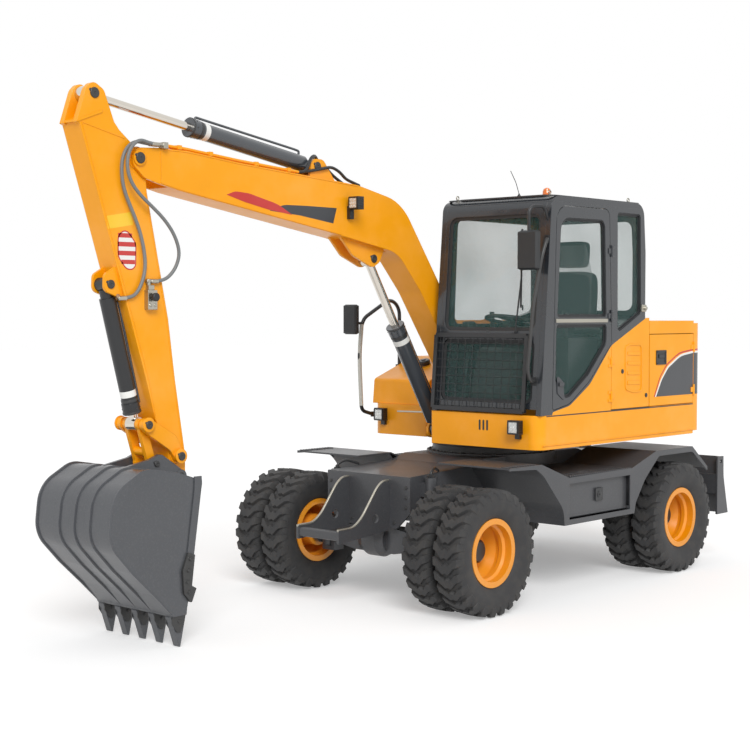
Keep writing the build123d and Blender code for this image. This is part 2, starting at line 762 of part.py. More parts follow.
def barrel(base, eye, y, radius, length, eye_r, eye_half, tube_start):
    """A cylinder barrel: base eye, neck, tube and gland."""
    dx, dz, _ = direction(base, eye)
    near = along(base, eye, eye_r * 0.7)
    start = along(base, eye, tube_start)
    gland = along(base, eye, length - 70)
    end = along(base, eye, length)
    tail = cross_bar(base, eye_r, y - eye_half, y + eye_half)
    stub = bar((near[0], y, near[1]), (start[0], y, start[1]), min(eye_half * 0.9, radius * 0.8))
    tube = bar((start[0], y, start[1]), (end[0], y, end[1]), radius)
    collar = bar((gland[0], y, gland[1]), (end[0], y, end[1]), radius + 6)
    inner = along(base, eye, tube_start + 30)
    body = joined([tail, stub, tube, collar])
    return inner, end, body


def cylinder(name, base, eye, y, bore_r, rod_r, length, rod_length, eye_r, eye_half, tube_start):
    """Write the barrel and the rod of one cylinder, with the rod free in the barrel."""
    inner, end, body = barrel(base, eye, y, bore_r, length, eye_r, eye_half, tube_start)
    past = along(base, eye, length + 20)
    body -= bar((inner[0], y, inner[1]), (past[0], y, past[1]), rod_r + PIN_GAP)
    start = along(eye, base, rod_length)
    rod = bar((start[0], y, start[1]), (eye[0], y, eye[1]), rod_r)
    rod += cross_bar(eye, eye_r, y - eye_half, y + eye_half)
    save(name + "_barrel", body)
    save(name + "_rod", rod)


CYLINDERS = [  # name, base, eye, y, tube radius, rod radius, tube end, rod length, eye radius, eye half width, tube start
    ("boom_cylinder", BOOM_CYL_FOOT, BOOM_CYL_EYE, BOOM_Y, 62, 32, 945, 880, 52, 44.7, 100),
    ("arm_cylinder", ARM_CYL_BASE, ARM_CYL_EYE, BOOM_Y, 56, 28, 1127, 1070, 50, 44.7, 90),
    ("bucket_cylinder", BUCKET_CYL_BASE, BUCKET_CYL_EYE, BOOM_Y, 50, 26, 822, 690, 42, 44.7, 85),
    ("blade_cylinder", BLADE_CYL_BASE, BLADE_CYL_EYE, 0, 36, 20, 440, 400, 34, 39.7, 55),
]
for row in CYLINDERS:
    cylinder(*row)


# Boom: a bent box beam with a fork at its tip, ears above and below and a foot boss

def boom():
    """The boom's box, with its fork, its ears and the relief over the cylinder's eye."""
    body_rows = [  # x, z, radius: along the top from the tip, then back along the bottom
        (3175, 3060, 0),
        (2903, 3060, 300),
        (2450, 3018, 900),
        (1330, 2945, 420),
        (860, 2850, 420),
        (-150, 1480, 0),
        (-60, 1340, 0),
        (60, 1400, 0),
        (640, 2200, 300),
        (900, 2480, 300),
        (1451, 2577, 500),
        (2959, 2805, 60),
        (3175, 2850, 0),
    ]
    y_low, y_high = BOOM_Y - BOOM_HALF, BOOM_Y + BOOM_HALF
    body = side_plate(body_rows, y_low, y_high)
    foot = cross_bar(BOOM_FOOT, 92, y_low, y_high)
    foot_hole = cross_bar(BOOM_FOOT, 35 + PIN_GAP, y_low - 1, y_high + 1)
    tip_rows = [
        (3120, 3062, 0),
        (BOOM_TIP[0] + 20, BOOM_TIP[1] + 62, 55),
        (BOOM_TIP[0] + 62, BOOM_TIP[1] - 30, 60),
        (BOOM_TIP[0] - 40, BOOM_TIP[1] - 118, 70),
        (3120, 2838, 0),
    ]
    tip = side_plate(tip_rows, y_low, y_high)
    fork_gap = side_plate(
        [(2960, 3200), (3500, 3200), (3500, 2700), (3080, 2700)], BOOM_Y - ARM_HALF - BODY_GAP, BOOM_Y + ARM_HALF + BODY_GAP
    )
    pieces = [body, foot, tip]
    ear_rows = [
        (1480, 2600, 0),
        (1230, 2590, 0),
        (1000, 2500, 0),
        (BOOM_CYL_EYE[0] - 62, BOOM_CYL_EYE[1] - 25, 60),
        (BOOM_CYL_EYE[0] + 10, BOOM_CYL_EYE[1] - 66, 60),
        (1330, 2450, 60),
    ]
    base_rows = [
        (1500, 2945, 0),
        (ARM_CYL_BASE[0] - 58, ARM_CYL_BASE[1] + 50, 56),
        (ARM_CYL_BASE[0] + 58, ARM_CYL_BASE[1] + 50, 56),
        (1765, 2960, 0),
    ]
    for plate_y in (BOOM_Y - 65, BOOM_Y + 45):
        pieces.append(side_plate(ear_rows, plate_y, plate_y + 20))
        pieces.append(side_plate(base_rows, plate_y, plate_y + 20))
    total = joined(pieces) - fork_gap - foot_hole
    for dx, dz in ((-30, 34), (-60, 46), (-90, 57)):
        total = total - cross_bar((BOOM_CYL_EYE[0] + dx, BOOM_CYL_EYE[1] + dz), 60, BOOM_Y - 50, BOOM_Y + 50)
    for side_y in (y_low - 12, y_high - BOOM_PLATE + 8):
        total += cross_bar(BOOM_TIP, 48, side_y, side_y + 24)
    return total


def boom_lamp():
    """The work lamp on the boom's left side."""
    y = BOOM_Y + BOOM_HALF
    foot = block(1400, 1440, y, y + 30, 2700, 2790)
    case = block(1395, 1455, y + 30, y + 120, 2765, 2855)
    return foot + case


save("boom", boom())
save("boom_lamp", boom_lamp())


# Arm: a tapered box with two ears at its top and lugs on its back

def arm():
    """The arm's box, ears, cylinder lugs and lower bosses."""
    rows = [  # x, z, radius: up the back, over the top and down the front
        (3155, 1383, 40),
        (3225, 1629, 0),
        (3499, 2493, 0),
        (ARM_CORNER[0], ARM_CORNER[1], 0),
        (3548, 3245, 30),
        (3360, 3100, 60),
        (3222, 2990, 70),
        (3215, 2800, 300),
        (3048, 2003, 0),
        (2995, 1621, 0),
        (2915, 1143, 0),
        (BUCKET_PIVOT[0] - 62, BUCKET_PIVOT[1] - 20, 50),
        (BUCKET_PIVOT[0] + 5, BUCKET_PIVOT[1] - 68, 55),
        (BUCKET_PIVOT[0] + 62, BUCKET_PIVOT[1] + 10, 50),
        (ROCKER_PIVOT[0] + 62, ROCKER_PIVOT[1] + 50, 60),
    ]
    y_low, y_high = BOOM_Y - ARM_HALF, BOOM_Y + ARM_HALF
    body = side_plate(rows, y_low, y_high)
    flange_rows = [
        (ARM_CORNER[0] + ARM_FLANGE, ARM_CORNER[1] - 2),
        (ARM_CORNER[0] + ARM_FLANGE, ARM_CORNER[1] + 12),
        (3548, 3257),
        (3548, 3240),
    ]
    pieces = [body, side_plate(flange_rows, y_low - 5, y_high + 5)]
    ear_rows = [
        (3735, 3170, 0),
        (ARM_CYL_EYE[0] + 62, ARM_CYL_EYE[1] + 20, 60),
        (ARM_CYL_EYE[0] + 12, ARM_CYL_EYE[1] + 72, 60),
        (ARM_CYL_EYE[0] - 70, ARM_CYL_EYE[1] + 25, 60),
        (3459, 3192, 0),
        (3380, 3100, 0),
        (3560, 3100, 0),
    ]
    lug_rows = [
        (3430, 2330, 0),
        (BUCKET_CYL_BASE[0] + 46, BUCKET_CYL_BASE[1] + 60, 40),
        (BUCKET_CYL_BASE[0] + 50, BUCKET_CYL_BASE[1] - 40, 46),
        (3395, 2130, 0),
        (3330, 2100, 0),
    ]
    for plate_y in (y_low, BOOM_Y + 45):
        pieces.append(side_plate(ear_rows, plate_y, plate_y + 40))
    for plate_y in (BOOM_Y - 65, BOOM_Y + 45):
        pieces.append(side_plate(lug_rows, plate_y, plate_y + 20))
    pieces.append(cross_bar(BOOM_TIP, 70, BOOM_Y - ARM_HALF - 4.7, BOOM_Y + ARM_HALF + 4.7))
    pieces.append(cross_bar(ROCKER_PIVOT, 50, BOOM_Y - 92, BOOM_Y + 92))
    pieces.append(cross_bar(BUCKET_PIVOT, 50, BOOM_Y - 92, BOOM_Y + 92))
    return joined(pieces)


def rocker():
    """The pair of curved links from the arm's foot to the cylinder's eye, with the eye's pin."""
    rows = [
        (ROCKER_PIVOT[0] - 44, ROCKER_PIVOT[1] - 10, 40),
        (ROCKER_PIVOT[0] + 14, ROCKER_PIVOT[1] - 48, 40),
        (ROCKER_PIVOT[0] + 70, ROCKER_PIVOT[1] + 40, 60),
        (BUCKET_CYL_EYE[0] + 10, BUCKET_CYL_EYE[1] - 46, 40),
        (BUCKET_CYL_EYE[0] + 46, BUCKET_CYL_EYE[1] + 6, 40),
        (BUCKET_CYL_EYE[0] - 10, BUCKET_CYL_EYE[1] + 46, 40),
        (ROCKER_PIVOT[0] + 20, ROCKER_PIVOT[1] + 130, 120),
    ]
    halves = []
    for side in (1, -1):
        y_low, y_high = sorted((BOOM_Y + side * 92.3, BOOM_Y + side * 118))
        pieces = [side_plate(rows, y_low, y_high)]
        y_low, y_high = sorted((BOOM_Y + side * 92.3, BOOM_Y + side * 142))
        pieces.append(cross_bar(ROCKER_PIVOT, 40, y_low, y_high))
        pieces.append(cross_bar(BUCKET_CYL_EYE, 40, y_low, y_high))
        y_low, y_high = sorted((BOOM_Y + side * 74, BOOM_Y + side * 94))
        pieces.append(cross_bar(BUCKET_CYL_EYE, 24, y_low, y_high))
        halves.append(joined(pieces))
    return halves


def push_link():
    """The link from the cylinder's eye to the bucket, in two cheeks joined low down."""
    pieces = []
    for side in (1, -1):
        y_low, y_high = sorted((BOOM_Y + side * 45, BOOM_Y + side * 73.7))
        pieces.append(pivot_arm(BUCKET_CYL_EYE, BUCKET_LINK, 37, y_low, y_high))
    x = BUCKET_CYL_EYE[0] * 0.3 + BUCKET_LINK[0] * 0.7
    z = BUCKET_CYL_EYE[1] * 0.3 + BUCKET_LINK[1] * 0.7
    pieces.append(cross_bar((x, z), 28, BOOM_Y - 60, BOOM_Y + 60))
    return joined(pieces)


def bucket():
    """The bucket: side plates, rolled shell, top ears, lip and teeth."""
    side_rows = [  # x, z, radius: round the mouth's edge, then up the rolled back
        (3029 - 10, 1010, 40),
        (3029, 960, 30),
        (3120, 370, 0),
        (3154, 212, 0),
        (3270, 211, 0),
        (3394, 345, 60),
        (3560, 500, 160),
        (3735, 690, 200),
        (3700, 980, 200),
        (3471, 1105, 160),
        (3220, 1075, 0),
    ]
    y_low, y_high = BOOM_Y - BUCKET_HALF, BOOM_Y + BUCKET_HALF
    solid = side_plate(side_rows, y_low, y_high)
    inner_rows = [
        (2900, 1100, 0),
        (2900, 100, 0),
        (3258, 200, 0),
        (3390, 362, 60),
        (3548, 512, 150),
        (3716, 700, 185),
        (3684, 968, 185),
        (3468, 1085, 150),
        (3215, 1055, 0),
        (3010, 1030, 0),
    ]
    hollow = side_plate(inner_rows, y_low + 16, y_high - 16)
    pieces = [solid - hollow]
    ear_rows = [
        (BUCKET_PIVOT[0] - 56, BUCKET_PIVOT[1] - 5, 46),
        (BUCKET_PIVOT[0] + 10, BUCKET_PIVOT[1] + 56, 50),
        (BUCKET_LINK[0] - 30, BUCKET_LINK[1] + 62, 50),
        (BUCKET_LINK[0] + 56, BUCKET_LINK[1] + 30, 46),
        (3430, 1100, 0),
        (3300, 1070, 0),
        (3050, 1020, 0),
    ]
    for side in (1, -1):
        y_low_ear, y_high_ear = sorted((BOOM_Y + side * 92.3, BOOM_Y + side * 118))
        pieces.append(side_plate(ear_rows, y_low_ear, y_high_ear))
    tooth_rows = [(3160, 225), (3255, 205), (3268, 190), (3205, 4), (3194, 2), (3150, 190)]
    for index in range(5):
        y = BOOM_Y - BUCKET_HALF + 40 + index * (2 * BUCKET_HALF - 80) / 4
        pieces.append(side_plate(tooth_rows, y - 26, y + 26))
    lip = side_plate([(3140, 300), (3154, 195), (3262, 195), (3290, 250)], y_low, y_high)
    pieces.append(lip)
    return joined(pieces)


save("arm", arm())
save("rocker", *rocker())
save("push_link", push_link())
save("bucket", bucket())


# Upper structure: deck and skirt, with the lugs of the boom and of its cylinder

def upper_frame():
    """The deck with its rounded skirt, and the lugs that carry the boom."""
    rows = [  # x, y, radius
        (CAB_FRONT + 18, SIDE_HALF, 90),
        (CAB_FRONT + 18, CAB_RIGHT_Y, 20),
        (140, CAB_RIGHT_Y, 0),
        (140, HOUSING_Y, 0),
        (HOUSING_FRONT, HOUSING_Y, 20),
        (HOUSING_FRONT, -SIDE_HALF, 110),
        (HOOD_REAR, -SIDE_HALF, 0),
        (HOOD_REAR, SIDE_HALF, 0),
    ]
    deck = plan_plate(rows, UPPER_BOTTOM, SEAM_Z)
    pieces = [deck]
    foot_rows = [
        (-230, SEAM_Z - 10, 0),
        (BOOM_FOOT[0] - 80, BOOM_FOOT[1] + 60, 80),
        (BOOM_FOOT[0] + 80, BOOM_FOOT[1] + 60, 80),
        (130, SEAM_Z - 10, 0),
    ]
    for side in (1, -1):
        y_low, y_high = sorted((BOOM_Y + side * (BOOM_HALF + BODY_GAP), BOOM_Y + side * (BOOM_HALF + BODY_GAP + 25)))
        pieces.append(side_plate(foot_rows, y_low, y_high))
    pieces.append(cross_bar(BOOM_FOOT, 35, BOOM_Y - BOOM_HALF - 32, BOOM_Y + BOOM_HALF + 32))
    lug_rows = [
        (120, 1085, 0),
        (120, 1290, 0),
        (200, 1290, 60),
        (BOOM_CYL_FOOT[0] + 62, BOOM_CYL_FOOT[1] + 30, 60),
        (BOOM_CYL_FOOT[0] + 62, BOOM_CYL_FOOT[1] - 65, 60),
    ]
    for plate_y in (BOOM_Y - 67, BOOM_Y + 45):
        pieces.append(side_plate(lug_rows, plate_y, plate_y + 22))
    return joined(pieces)


def counterweight():
    """The cast counterweight that closes the tail."""
    rows = [
        (HOOD_REAR, SIDE_HALF, 0),
        (HOOD_REAR, -SIDE_HALF, 0),
        (TAIL_X + 20, -SIDE_HALF, 110),
        (TAIL_X, -500, 600),
        (TAIL_X, 500, 600),
        (TAIL_X + 20, SIDE_HALF, 110),
    ]
    return plan_plate(rows, UPPER_BOTTOM + 22, HOOD_TOP - 20)


def right_housing():
    """The tank housing on the right, with its sloping top."""
    rows = [  # x, z, radius
        (HOUSING_FRONT - 12, SEAM_Z, 0),
        (HOUSING_FRONT - 30, 1512, 30),
        (-300, HOUSING_TOP, 80),
        (HOOD_FRONT, HOUSING_TOP, 0),
        (HOOD_FRONT, SEAM_Z, 0),
    ]
    return side_plate(rows, -SIDE_HALF, HOUSING_Y)


def centre_cover():
    """The cover behind the boom's foot."""
    rows = [
        (-370, SEAM_Z, 0),
        (-420, 1700, 60),
        (HOOD_FRONT, 1940, 0),
        (HOOD_FRONT, SEAM_Z, 0),
    ]
    return side_plate(rows, HOUSING_Y, CAB_RIGHT_Y)


def hood():
    """The fixed walls of the engine bay: front, right side and top rim."""
    outer = block(HOOD_REAR, HOOD_FRONT, -SIDE_HALF, SIDE_HALF, SEAM_Z, HOOD_TOP)
    inner = block(
        HOOD_REAR - 1, HOOD_FRONT - PANEL_WALL, -SIDE_HALF + PANEL_WALL, SIDE_HALF - PANEL_WALL, SEAM_Z - 1, HOOD_TOP - PANEL_WALL
    )
    lid_hole = block(HOOD_REAR - 1, HOOD_FRONT - 60, -850, 850, HOOD_TOP - PANEL_WALL - 1, HOOD_TOP + 1)
    side_hole = block(HOOD_REAR - 1, HOOD_FRONT + 1, SIDE_HALF - PANEL_WALL - 1, SIDE_HALF + 1, SEAM_Z - 1, HOOD_TOP - 100)
    panel_hole = block(DOOR_SPLIT_X - 1, HOOD_FRONT + 1, SIDE_HALF - PANEL_WALL - 1, SIDE_HALF + 1, SEAM_Z - 1, HOOD_TOP + 1)
    return outer - inner - lid_hole - side_hole - panel_hole


def hood_lid():
    """The lid over the engine bay, hinged at its front edge."""
    gap = BODY_GAP
    return block(HOOD_REAR + gap, HOOD_FRONT - 60 - gap, -850 + gap, 850 - gap, HOOD_TOP - 30, HOOD_TOP)


def bay_door():
    """The engine bay's left door, hinged at its rear edge."""
    gap = BODY_GAP
    return block(HOOD_REAR + gap, DOOR_SPLIT_X - gap, SIDE_HALF - 30, SIDE_HALF, SEAM_Z + gap, HOOD_TOP - 100 - gap)


def engine():
    """The engine, as one plain block at its place in the bay."""
    return block(-1420, -960, -420, 420, SEAM_Z, 1800)


LID_HINGE = (HOOD_FRONT - 65.0, HOOD_TOP + 4.0)
BAY_HINGE = (HOOD_REAR, SIDE_HALF + 4.0)
DOOR_HINGE = (-292.0, SIDE_HALF + 6.0)
SERVICE_HINGE = (SPLIT_X, SIDE_HALF + 4.0)


leaf_near = HINGE_MIDDLE / 2 + PIN_GAP
lid_places = [(LID_HINGE[0], y, LID_HINGE[1]) for y in (-600.0, 600.0)]
hood_fixed = joined([hood(), centre_cover()])
lid_moving = hood_lid()
for x, y, z in lid_places:
    lid_moving += block(x - 40, x, y - HINGE_MIDDLE / 2, y + HINGE_MIDDLE / 2, HOOD_TOP - 1, HOOD_TOP + 5)
    for y_low in (y + leaf_near, y - leaf_near - HINGE_END):
        hood_fixed += block(x, HOOD_FRONT - 20, y_low, y_low + HINGE_END, HOOD_TOP - 1, HOOD_TOP + 5)
hood_fixed, lid_moving = with_hinges(hood_fixed, lid_moving, lid_places, (0, 1, 0))

bay_places = [(BAY_HINGE[0], BAY_HINGE[1], z) for z in (SEAM_Z + 110.0, HOOD_TOP - 210.0)]
tail = counterweight()
bay_moving = bay_door()
for x, y, z in bay_places:
    bay_moving += block(x, x + 40, SIDE_HALF - 1, SIDE_HALF + 5, z - HINGE_MIDDLE / 2, z + HINGE_MIDDLE / 2)
    for z_low in (z + leaf_near, z - leaf_near - HINGE_END):
        tail += block(x - 16, x, SIDE_HALF - 1, SIDE_HALF + 5, z_low, z_low + HINGE_END)
tail, bay_moving = with_hinges(tail, bay_moving, bay_places, (0, 0, 1))

save("upper_frame", upper_frame())
save("counterweight", tail)
save("right_housing", right_housing())
save("hood", hood_fixed)
save("hood_lid", lid_moving)
save("bay_door", bay_moving)
save("engine", engine())


# Cab: roof, floor and four walls with their windows cut, the door and the glass

CAB_ROWS = [  # x, z, radius: the cab's outline from the side
    (CAB_FRONT, SEAM_Z, 0),
    (CAB_TOP_FRONT, CAB_TOP, 90),
    (CAB_REAR + 30, CAB_TOP, 100),
    (CAB_REAR, 2500, 0),
    (CAB_REAR, SEAM_Z, 0),
]
PANEL_ROWS = [  # x, z, radius: the yellow panel that sweeps down from the cab's rear
    (450, SEAM_Z, 0),
    (440, 1340, 0),
    (235, 1375, 200),
    (-20, 1520, 300),
    (-300, 1800, 200),
    (-768, 1999, 0),
    (DOOR_SPLIT_X, 2005, 0),
    (DOOR_SPLIT_X, SEAM_Z, 0),
]
DOOR_ROWS = [  # x, z, radius
    (447, 1352, 20),
    (402, 2800, 120),
    (-262, 2805, 60),
    (-302, 1815, 60),
    (-12, 1545, 300),
    (240, 1390, 200),
]
DOOR_UPPER_PANE = [
    (395, 2010, 30),
    (352, 2720, 100),
    (-205, 2725, 60),
    (-232, 2010, 30),
]
DOOR_LOWER_PANE = [
    (405, 1960, 30),
    (415, 1560, 40),
    (310, 1430, 60),
    (235, 1440, 60),
    (0, 1590, 200),
    (-232, 1815, 60),
    (-235, 1960, 30),
]
QUARTER_PANE = [
    (-372, 2790, 30),
    (-690, 2790, 30),
    (-705, 2040, 40),
    (-380, 1890, 30),
]


def shrunk(rows, amount):
    """An outline pulled in or let out by an amount all round."""
    return offset(outline(rows), amount=amount, kind=Kind.INTERSECTION)


def side_plate_of(face, y_low, y_high):
    """A piece cut to a ready face of x and z."""
    return extrude(Plane.XZ.offset(-y_high) * face, amount=y_high - y_low)


def cab_shell():
    """The cab's outer form as one thick shell."""
    outer = side_plate(CAB_ROWS, CAB_RIGHT_Y, SIDE_HALF)
    inner = side_plate_of(shrunk(CAB_ROWS, -CAB_WALL), CAB_RIGHT_Y + CAB_WALL, SIDE_HALF - CAB_WALL)
    return outer - inner


def pane_cutter(rows, y_low, y_high):
    """A cutter for a side window."""
    return side_plate(rows, y_low, y_high)


def front_cut(y_low, y_high, z_low, z_high, radius):
    """A cutter through the front wall, from rows of y and z."""
    rows = [(y_low, z_low, radius), (y_low, z_high, radius), (y_high, z_high, radius), (y_high, z_low, radius)]
    return cross_plate(rows, 380, CAB_FRONT + 40)


FRONT_UPPER = (CAB_RIGHT_Y + 75, SIDE_HALF - 85, 1915, 2745, 70)
FRONT_LOWER = (CAB_RIGHT_Y + 75, SIDE_HALF - 85, 1400, 1850, 50)
REAR_OPENING = (CAB_RIGHT_Y + 90, SIDE_HALF - 90, 2060, 2740, 60)
RIGHT_PANE = [(380, 1960, 50), (340, 2740, 60), (-640, 2740, 60), (-640, 2060, 50), (-200, 1960, 50)]

shell = cab_shell()
roof_cut = block(-900, 700, -100, 1100, CAB_TOP - CAB_WALL, 2900)
floor_cut = block(-900, 700, CAB_RIGHT_Y + CAB_WALL, SIDE_HALF - CAB_WALL, SEAM_Z - 1, SEAM_Z + CAB_WALL)
middle = shell - roof_cut - floor_cut
left_cut = block(-900, 700, SIDE_HALF - CAB_WALL, 1100, 1300, 2900)
right_cut = block(-900, 700, -100, CAB_RIGHT_Y + CAB_WALL, 1300, 2900)
front_slab = block(0, 700, CAB_RIGHT_Y + CAB_WALL, SIDE_HALF - CAB_WALL, 1300, 2900)
rear_slab = block(-900, 0, CAB_RIGHT_Y + CAB_WALL, SIDE_HALF - CAB_WALL, 1300, 2900)

cab_roof = shell & roof_cut
cab_left = middle & left_cut
cab_right = middle & right_cut
cab_front = middle & front_slab
cab_rear = middle & rear_slab

door_cut = side_plate_of(shrunk(DOOR_ROWS, BODY_GAP), SIDE_HALF - 80, SIDE_HALF + 20)
panel_cut = side_plate(PANEL_ROWS, SIDE_HALF - PANEL_WALL - 2, SIDE_HALF + 20)
cab_left = cab_left - door_cut - panel_cut - pane_cutter(QUARTER_PANE, SIDE_HALF - 80, SIDE_HALF + 20)
locker_rows = [  # x, z: it stays under the corner of the cab door
    (-280, SEAM_Z),
    (-280, 1780),
    (-345, 1835),
    (CAB_REAR + CAB_WALL, 2015),
    (CAB_REAR + CAB_WALL, SEAM_Z),
]
locker_y = (LOCKER_Y, SIDE_HALF - PANEL_WALL - 2)
locker = side_plate(locker_rows, *locker_y)
locker_room = side_plate_of(shrunk(locker_rows, -LOCKER_WALL), locker_y[0] + LOCKER_WALL, locker_y[1] + 1)
cab_left = cab_left + (locker - locker_room)
cab_right = cab_right - pane_cutter(RIGHT_PANE, CAB_RIGHT_Y - 20, CAB_RIGHT_Y + 80)
cab_front = cab_front - front_cut(*FRONT_UPPER) - front_cut(*FRONT_LOWER)
rear_rows = [
    (REAR_OPENING[0], REAR_OPENING[2], 60),
    (REAR_OPENING[0], REAR_OPENING[3], 60),
    (REAR_OPENING[1], REAR_OPENING[3], 60),
    (REAR_OPENING[1], REAR_OPENING[2], 60),
]
cab_rear = cab_rear - cross_plate(rear_rows, CAB_REAR - 20, CAB_REAR + 120)

save("cab_roof", cab_roof)
save("cab_right", cab_right)
save("cab_front", cab_front)
save("cab_rear", cab_rear)

door_solid = side_plate(DOOR_ROWS, SIDE_HALF - CAB_WALL, SIDE_HALF)
door_solid = door_solid - pane_cutter(DOOR_UPPER_PANE, SIDE_HALF - 80, SIDE_HALF + 20)
door_solid = door_solid - pane_cutter(DOOR_LOWER_PANE, SIDE_HALF - 80, SIDE_HALF + 20)
door_places = [(DOOR_HINGE[0], DOOR_HINGE[1], z) for z in (2020.0, 2500.0)]
for x, y, z in door_places:
    door_solid += block(x, x + 40, SIDE_HALF + 1, SIDE_HALF + 6, z - HINGE_MIDDLE / 2, z + HINGE_MIDDLE / 2)
    door_solid += block(x + 24, x + 40, SIDE_HALF - 1, SIDE_HALF + 2, z - HINGE_MIDDLE / 2, z + HINGE_MIDDLE / 2)
    for z_low in (z + leaf_near, z - leaf_near - HINGE_END):
        cab_left += block(x - 40, x, SIDE_HALF + 1, SIDE_HALF + 6, z_low, z_low + HINGE_END)
        cab_left += block(x - 40, x - 20, SIDE_HALF - 1, SIDE_HALF + 2, z_low, z_low + HINGE_END)
cab_left, door_solid = with_hinges(cab_left, door_solid, door_places, (0, 0, 1))
save("cab_left", cab_left)
save("cab_door", door_solid)


def side_glass(rows, y):
    """A pane that fills a side window, set in the middle of the wall."""
    return side_plate_of(shrunk(rows, -PIN_GAP), y - PANE / 2, y + PANE / 2)


pane_y = SIDE_HALF - CAB_WALL / 2
save("door_glass", side_glass(DOOR_UPPER_PANE, pane_y), side_glass(DOOR_LOWER_PANE, pane_y))


def front_glass(y_low, y_high, z_low, z_high, radius):
    """A pane in the raked front wall."""
    slope = (CAB_TOP_FRONT - CAB_FRONT) / (CAB_TOP - SEAM_Z)
    middle_x = CAB_FRONT - CAB_WALL / 2
    rows = []
    for z in (1340, 2790):
        x = middle_x + slope * (z - SEAM_Z)
        rows.append((x - PANE / 2, z))
    slab_rows = [rows[0], rows[1], (rows[1][0] + PANE, rows[1][1]), (rows[0][0] + PANE, rows[0][1])]
    slab = side_plate(slab_rows, CAB_RIGHT_Y, SIDE_HALF)
    hole = front_cut(y_low + PIN_GAP, y_high - PIN_GAP, z_low + PIN_GAP, z_high - PIN_GAP, radius - PIN_GAP)
    return slab & hole


rear_glass_rows = [
    (REAR_OPENING[0] + PIN_GAP, REAR_OPENING[2] + PIN_GAP, 60),
    (REAR_OPENING[0] + PIN_GAP, REAR_OPENING[3] - PIN_GAP, 60),
    (REAR_OPENING[1] - PIN_GAP, REAR_OPENING[3] - PIN_GAP, 60),
    (REAR_OPENING[1] - PIN_GAP, REAR_OPENING[2] + PIN_GAP, 60),
]
rear_glass_x = CAB_REAR + CAB_WALL / 2
save(
    "cab_glass",
    front_glass(*FRONT_UPPER),
    front_glass(*FRONT_LOWER),
    side_glass(QUARTER_PANE, pane_y),
    side_glass(RIGHT_PANE, CAB_RIGHT_Y + CAB_WALL / 2),
    cross_plate(rear_glass_rows, rear_glass_x - PANE / 2, rear_glass_x + PANE / 2),
)

# Yellow side panel and the service door in it

panel = side_plate(PANEL_ROWS, SIDE_HALF - PANEL_WALL, SIDE_HALF)
service_cut = block(DOOR_SPLIT_X - 1, SPLIT_X, 900, 1000, SEAM_Z - 1, 2100)
front_panel = panel - service_cut
service_door = panel & block(DOOR_SPLIT_X + BODY_GAP, SPLIT_X - BODY_GAP, 900, 1000, SEAM_Z + BODY_GAP, 2100)
front_panel = front_panel - door_cut
service_places = [(SERVICE_HINGE[0], SERVICE_HINGE[1], z) for z in (1420.0, 1680.0)]
for x, y, z in service_places:
    service_door += block(x - 40, x, SIDE_HALF - 1, SIDE_HALF + 5, z - HINGE_MIDDLE / 2, z + HINGE_MIDDLE / 2)
    for z_low in (z + leaf_near, z - leaf_near - HINGE_END):
        front_panel += block(x, x + 40, SIDE_HALF - 1, SIDE_HALF + 5, z_low, z_low + HINGE_END)
front_panel, service_door = with_hinges(front_panel, service_door, service_places, (0, 0, 1))
save("side_panel", front_panel)
save("service_door", service_door)


# Inside the cab: seat, console and steering column

def seat():
    """The seat's plinth, cushion and backrest."""
    plinth = block(-420, -60, 290, 660, SEAM_Z, 1640)
    cushion = block(-470, 40, 225, 725, 1640, 1760)
    back = side_plate([(-470, 1700, 30), (-360, 1700, 20), (-440, 2380, 50), (-540, 2380, 40)], 235, 715)
    head = side_plate([(-545, 2380, 20), (-450, 2380, 20), (-470, 2600, 40), (-555, 2600, 40)], 330, 620)
    return joined([plinth, cushion, back, head])


def controls():
    """The steering column with its wheel, and the two boxes beside the seat with their levers."""
    column = side_plate([(380, SEAM_Z), (460, SEAM_Z), (335, 1985), (265, 1985)], 445, 505)
    wheel_plane = Plane(origin=(300, 475, 1990), z_dir=(-0.19, 0, 1))
    wheel = wheel_plane * Torus(170, 14)
    spoke = wheel_plane * Box(330, 30, 14)
    pieces = [joined([column, wheel, spoke])]
    for y_low in (75, 745):
        box = block(-260, 120, y_low, y_low + 130, SEAM_Z, 1860)
        lever = bar((60, y_low + 65, 1850), (75, y_low + 65, 2050), 18)
        pieces.append(joined([box, lever]))
    return pieces


save("seat", seat())
save("controls", *controls())


# Outside fittings: front guard, lamps, mirrors and rails

def front_guard():
    """The mesh guard over the lower front window."""
    y_low, y_high, z_low, z_high = 6, 835, 1345, 1880
    slope = (CAB_TOP_FRONT - CAB_FRONT) / (CAB_TOP - SEAM_Z)
    frame = 16.0

    def at(z):
        return CAB_FRONT + slope * (z - SEAM_Z) + 26

    pieces = []
    for z in (z_low, z_high):
        pieces.append(block(at(z) - frame / 2, at(z) + frame / 2, y_low, y_high, z - frame, z + frame))
    for y in (y_low, y_high):
        rows = [(at(z_low) - 8, z_low), (at(z_high) - 8, z_high), (at(z_high) + 8, z_high), (at(z_low) + 8, z_low)]
        pieces.append(side_plate(rows, y - frame, y + frame))
    for z in (z_low, z_high):
        for y in (y_low, y_high):
            rows = [(at(z + 10) - 26, z + 10), (at(z - 10) - 26, z - 10), (at(z), z - 10), (at(z), z + 10)]
            pieces.append(side_plate(rows, y - 10, y + 10))
    columns = 12
    for index in range(1, columns):
        y = y_low + (y_high - y_low) * index / columns
        pieces.append(bar((at(z_low), y, z_low), (at(z_high), y, z_high), 3))
    levels = 9
    for index in range(1, levels):
        z = z_low + (z_high - z_low) * index / levels
        pieces.append(bar((at(z), y_low, z), (at(z), y_high, z), 3))
    return joined(pieces)


